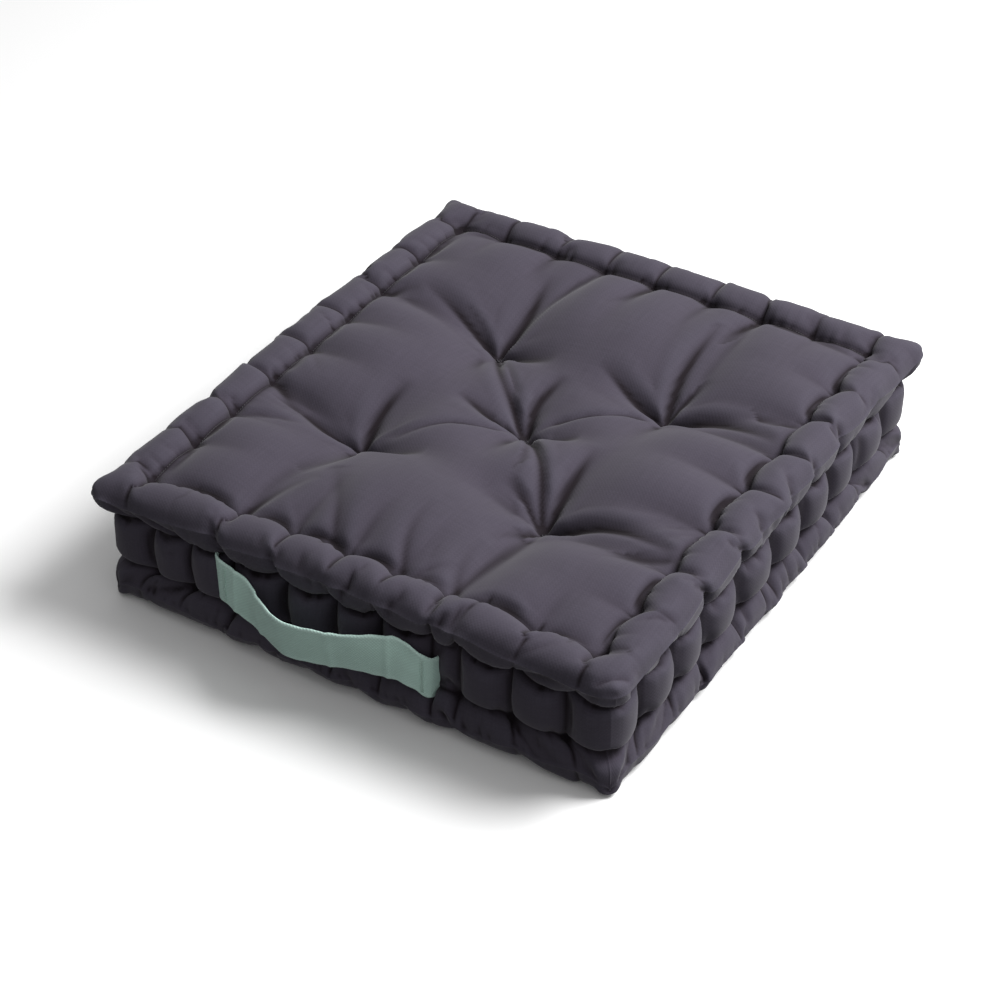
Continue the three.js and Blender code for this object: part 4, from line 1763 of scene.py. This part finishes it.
@dataclass
class TuftTies:
    """The five ties that pull top and bottom together: a laid cord, knotted on both faces."""

    sizes: CushionSizes
    cover: Cover
    twine: bpy.types.Material
    radius: float = 1.1
    knot_scale: float = 0.62
    knot_thread: float = 0.75
    knot_height: float = 1.0
    ply_turns_per_mm: float = 0.15
    cord_points: int = 80

    def build(self) -> list[bpy.types.Object]:
        """Makes the ties.

        Returns:
            The pieces.
        """
        angle = np.linspace(0, 2 * math.pi, 12, endpoint=False)
        spread = self.radius * (0.85 + 0.15 * np.cos(3 * angle))
        strand = np.stack([spread * np.cos(angle), spread * np.sin(angle)], axis=1)
        thread = self.knot_thread * np.stack([np.cos(angle[::2]), np.sin(angle[::2])], axis=1)
        pieces = []
        for name, x, y in self.cover.stitching.tufts:
            high, low = self.cover.height_at(x, y, True), self.cover.height_at(x, y, False)
            line = np.linspace((x, y, low), (x, y, high), self.cord_points)
            cord = tube_rings(line, strand, self.ply_turns_per_mm)
            ends = (high + self.knot_height, low - self.knot_height)
            knots = [tube_rings(self._knot(x, y, z), thread) for z in ends]
            co, faces = join_shells([cord, *knots])
            piece = make_piece(f"tuft_tie_{name}", self.sizes.to_frame(co), faces, self.twine)
            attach(piece, "cushion")
            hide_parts(f"tuft_cord_{name}")
            pieces.append(piece)
        return pieces

    def _knot(self, x: float, y: float, z: float) -> Array:
        """Centre line of an overhand knot pulled tight.

        Args:
            x: Its middle.
            y: Its middle.
            z: Its middle.

        Returns:
            Rows of points.
        """
        t = np.linspace(0, 2 * math.pi, 90)[:-3]
        across, away = np.sin(t) + 2 * np.sin(2 * t), np.cos(t) - 2 * np.cos(2 * t)
        knot = np.stack([across, away, -np.sin(3 * t)], axis=1)
        return knot * self.knot_scale + (x, y, z)


@dataclass
class CarryHandle:
    """The webbing loop on the front border, tucked into two upright creases, with a bar tack at each end."""

    sizes: CushionSizes
    cover: Cover
    webbing: bpy.types.Material
    thread: bpy.types.Material
    clear_of_cloth: float = 2.4
    tucked_points: int = 22
    width: float = 38.0
    thickness: float = 1.7
    hem: float = 0.5
    hem_width: float = 2.6
    cup: float = 0.9
    cup_level: float = 0.4
    fold_height: float = 0.9
    fold_width: float = 2.2
    folds: tuple[float, ...] = (33.0, 61.0, 128.0, 172.0)
    line: tuple[tuple[float, float, float, float], ...] = (
        # x, y and z of the middle of the webbing in the CAD frame, and the lean of its top edge in degrees.
        (-117, -216, 60.0, 0),
        (-112.5, -225.5, 60.6, 0),
        (-100, -231, 60.4, -2),
        (-87, -234.5, 58.9, -2),
        (-76, -237, 56.4, 2),
        (-57, -245.5, 53.6, 6),
        (-37, -252.5, 53.4, 10),
        (-14, -250, 54.5, 12),
        (10, -244, 55.3, 10),
        (32, -238, 57.0, 5),
        (46, -235, 58.8, -3),
        (54, -234.5, 57.5, -4),
        (61, -233, 54.5, 0),
        (66, -230, 49.0, 2),
        (70, -225, 44.5, 3),
        (72, -216, 42.0, 4),
    )
    tack_places: tuple[float, float] = (0.12, 0.86)

    def build(self) -> list[bpy.types.Object]:
        """Makes the webbing and its two bar tacks.

        Returns:
            The pieces.
        """
        left, right = self.tack_places
        return [self._strap(), self._tack("left", left), self._tack("right", right)]

    def _stations(self) -> tuple[Array, Array, Array]:
        """Centre line of the webbing with its across and outward directions.

        Returns:
            Points in CAD millimetres, unit vectors up the width, and unit vectors out of the face.
        """
        path = smooth_path(np.array(self.line), 10)
        points, lean = path[:, :3], np.radians(path[:, 3])
        half = self.width / 2
        room = np.array([self.cover.front_at(x, z - half, z + half) for x, _, z in points])
        ends = np.minimum(np.arange(len(points)), np.arange(len(points))[::-1])
        free = np.clip((ends - self.tucked_points / 2) / (self.tucked_points / 2), 0, 1)
        push = np.maximum(points[:, 1] - (room - self.clear_of_cloth), 0) * free
        for _ in range(6):
            push[1:-1] = np.maximum(push[1:-1], (push[:-2] + push[2:]) / 2)
        points[:, 1] -= push
        tangent = np.gradient(points, axis=0)
        tangent[:, 2] = 0
        tangent /= np.linalg.norm(tangent, axis=1)[:, None]
        out = np.stack([tangent[:, 1], -tangent[:, 0], np.zeros(len(points))], axis=1)
        up = np.array([0.0, 0.0, 1.0])
        across = np.cos(lean)[:, None] * up + np.sin(lean)[:, None] * out
        face = np.cos(lean)[:, None] * out - np.sin(lean)[:, None] * up
        return points, across, face

    def _strap(self) -> bpy.types.Object:
        """Makes the webbing itself.

        Returns:
            The piece.
        """
        points, across, face = self._stations()
        run = np.concatenate([[0], np.cumsum(np.linalg.norm(np.diff(points, axis=0), axis=1))])
        places = np.linspace(-1, 1, 33)
        half = self.width / 2
        thick = self.thickness / 2 + self.hem * np.exp(-(((1 - np.abs(places)) * half / self.hem_width) ** 2))
        thick *= np.sqrt(np.clip(1 - np.abs(places) ** 24, 0.02, 1))
        rings, uv, count = [], [], 2 * len(places)
        for k, (point, up, out) in enumerate(zip(points, across, face)):
            wave = 0.5 * np.sin(run[k] / 17 + 1.3) * places**2 + 0.45 * np.sin(run[k] / 9.5) * places**3
            cup = self.cup * (places**2 - self.cup_level)
            worn = 0.45 * math.sin(run[k] / 6.1) + 0.3 * math.sin(run[k] / 2.3 + 1)
            edge = half + worn * np.abs(places) ** 6
            away = [(run[k] - fold) / self.fold_width for fold in self.folds]
            wave = wave + sum(self.fold_height * math.exp(-(gap**2)) for gap in away)
            middle = point + (places * edge)[:, None] * up + (wave - cup)[:, None] * out
            rings += [middle + thick[:, None] * out, (middle - thick[:, None] * out)[::-1]]
            uv += [np.stack([np.full(len(places), run[k]), places * half], axis=1)]
            uv += [np.stack([np.full(len(places), run[k]), places[::-1] * half], axis=1)]
        co, uv = np.vstack(rings) / MM, np.vstack(uv) / MM
        faces = [
            (at + k, at + count + k, at + count + (k + 1) % count, at + (k + 1) % count)
            for at in range(0, (len(points) - 1) * count, count)
            for k in range(count)
        ]
        last, n = (len(points) - 1) * count, len(places)
        for k in range(n - 1):
            faces.append((k, k + 1, count - 2 - k, count - 1 - k))
            faces.append((last + k + 1, last + k, last + count - 1 - k, last + count - 2 - k))
        piece = make_piece("handle_webbing", co, faces, self.webbing)
        corners = np.empty(len(piece.data.loops), np.int32)
        piece.data.loops.foreach_get("vertex_index", corners)
        piece.data.uv_layers.new(name="cloth").data.foreach_set("uv", uv[corners].astype(np.float32).ravel())
        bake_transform(piece)
        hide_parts("handle_strap", "handle_tab_left", "handle_tab_right")
        return piece

    def _tack(self, word: str, share: float) -> bpy.types.Object:
        """Makes one bar tack, a close zigzag of thread across the webbing.

        Args:
            word: Left or right.
            share: Its place along the webbing, from 0 to 1.

        Returns:
            The piece.
        """
        points, across, face = self._stations()
        at = round(share * (len(points) - 1))
        along = points[at + 1] - points[at - 1]
        along /= np.linalg.norm(along)
        stitches, reach, half_width = 34, self.width / 2 - 3.0, 1.5
        zig = np.array([half_width if k % 2 else -half_width for k in range(stitches)])
        up = np.linspace(-reach, reach, stitches)
        lift = self.thickness / 2 + 0.25
        cup = self.cup * ((up / (self.width / 2)) ** 2 - self.cup_level)
        line = points[at] + up[:, None] * across[at] + zig[:, None] * along + (lift - cup)[:, None] * face[at]
        angle = np.linspace(0, 2 * math.pi, 8, endpoint=False)
        outline = 0.3 * np.stack([np.cos(angle), np.sin(angle)], axis=1)
        steps = [np.linspace(a, b, 4, endpoint=False) for a, b in zip(line, line[1:])]
        fine = np.vstack([*steps, line[-1:]])
        co, faces = tube_rings(fine, outline)
        piece = make_piece(f"bar_tack_{word}", co / MM, faces, self.thread)
        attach(piece, "cushion")
        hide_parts(f"handle_tack_{word}")
        return piece


# ------------------------------------------------------------------------------------------- studio


@dataclass
class Studio:
    """Camera, lights and floor."""

    sizes: CushionSizes
    azimuth: float = 31.57
    elevation: float = 36.69
    distance: float = 1.909
    lens: float = 88.7
    aim_right: float = -0.018
    aim_up: float = -0.0283
    key_power: float = 72.0
    key_size: float = 1.1
    key_from: tuple[float, float, float] = (1.15, 0.85, 1.75)
    sky_low: float = 0.11
    sky_high: float = 0.70

    def build(self) -> None:
        """Sets up the whole studio."""
        self._camera()
        self._key()
        self._sky()
        self._floor()
        bpy.context.scene.view_settings.view_transform = "Standard"

    def _camera(self) -> None:
        """Places the camera that looks down on the handle's corner."""
        a, e = math.radians(self.azimuth), math.radians(self.elevation)
        back = Vector((math.sin(a) * math.cos(e), -math.cos(a) * math.cos(e), math.sin(e)))
        right = (-back).cross(Vector((0, 0, 1))).normalized()
        up = right.cross(-back)
        middle = (self.sizes.top_seam + self.sizes.bottom_seam) / 2
        aim = Vector((self.sizes.middle_x, self.sizes.middle_y, middle)) / MM
        aim += right * self.aim_right + up * self.aim_up
        data = bpy.data.cameras.new("camera")
        data.lens, data.sensor_width = self.lens, 36.0
        data.clip_start, data.clip_end = 0.05, 50.0
        data.dof.use_dof = False
        camera = bpy.data.objects.new("camera", data)
        bpy.context.scene.collection.objects.link(camera)
        camera.matrix_world = Matrix((right, up, back)).transposed().to_4x4()
        camera.location = aim + back * self.distance
        bpy.context.scene.camera = camera

    def _key(self) -> None:
        """Hangs one large soft light above the far right corner."""
        data = bpy.data.lights.new("key_softbox", "AREA")
        data.size, data.energy = self.key_size, self.key_power
        light = bpy.data.objects.new("key_softbox", data)
        bpy.context.scene.collection.objects.link(light)
        light.location = self.key_from
        light.rotation_euler = (-Vector(self.key_from)).to_track_quat("-Z", "Y").to_euler()

    def _sky(self) -> None:
        """Fills the room with weak light, brightest above and to the right, but plain white to the eye."""
        world = bpy.data.worlds.new("studio_room")
        bpy.context.scene.world = world
        world.use_nodes = True
        tree = world.node_tree
        tree.nodes.clear()
        way = add_node(tree, "ShaderNodeTexCoord").outputs["Generated"]
        lean = Vector((0.5, 0.25, 0.83)).normalized()
        facing = add_node(
            tree, "ShaderNodeVectorMath", {0: way, 1: tuple(lean)}, operation="DOT_PRODUCT"
        )
        level = add_node(
            tree, "ShaderNodeMapRange",
            {"Value": facing.outputs["Value"], "From Min": -0.25, "From Max": 1.0, "To Min": self.sky_low,
             "To Max": self.sky_high}
        )
        lit = add_node(
            tree, "ShaderNodeBackground", {"Color": hex_to_linear("#FFFFFF"), "Strength": level.outputs[0]}
        )
        seen = add_node(tree, "ShaderNodeBackground", {"Color": hex_to_linear("#F4F4F4"), "Strength": 1.0})
        path = add_node(tree, "ShaderNodeLightPath")
        mix = add_node(
            tree, "ShaderNodeMixShader",
            {0: path.outputs["Is Camera Ray"], 1: lit.outputs[0], 2: seen.outputs[0]}
        )
        add_node(tree, "ShaderNodeOutputWorld", {"Surface": mix.outputs[0]})

    def _floor(self) -> None:
        """Lays the floor. It gives no bounce, as a real studio floor would be flagged off."""
        half = 6.0
        corners = [(-half, -half, 0), (half, -half, 0), (half, half, 0), (-half, half, 0)]
        floor = make_piece("studio_floor", np.array(corners), [(0, 1, 2, 3)], PaintedFloor().build())
        floor.location.z = -0.0002
        floor.visible_diffuse = False


def main() -> None:
    """Builds the cushion and its studio in order, and reports each piece."""
    logging.basicConfig(level=logging.INFO, format="%(message)s")
    sizes = CushionSizes.from_frame()
    stitching = Stitching()
    cotton, wadding = PlainWeaveCotton().build(), FibreWadding().build()
    twine, webbing = WaxedTwine().build(), CottonWebbing().build()
    thread = WaxedTwine(name="bar_tack_thread", shade="#A9C6BC", pale="#C9E2D9").build()
    Studio(sizes).build()
    cover = Cover(sizes, stitching, cotton, wadding)
    for assembly in (
        cover,
        EdgeTwines(sizes, cover, twine),
        TuftTies(sizes, cover, twine),
        CarryHandle(sizes, cover, webbing, thread),
    ):
        for piece in assembly.build():
            log.info("%s: %d faces", piece.name, len(piece.data.polygons))


if __name__ == "__main__":
    main()
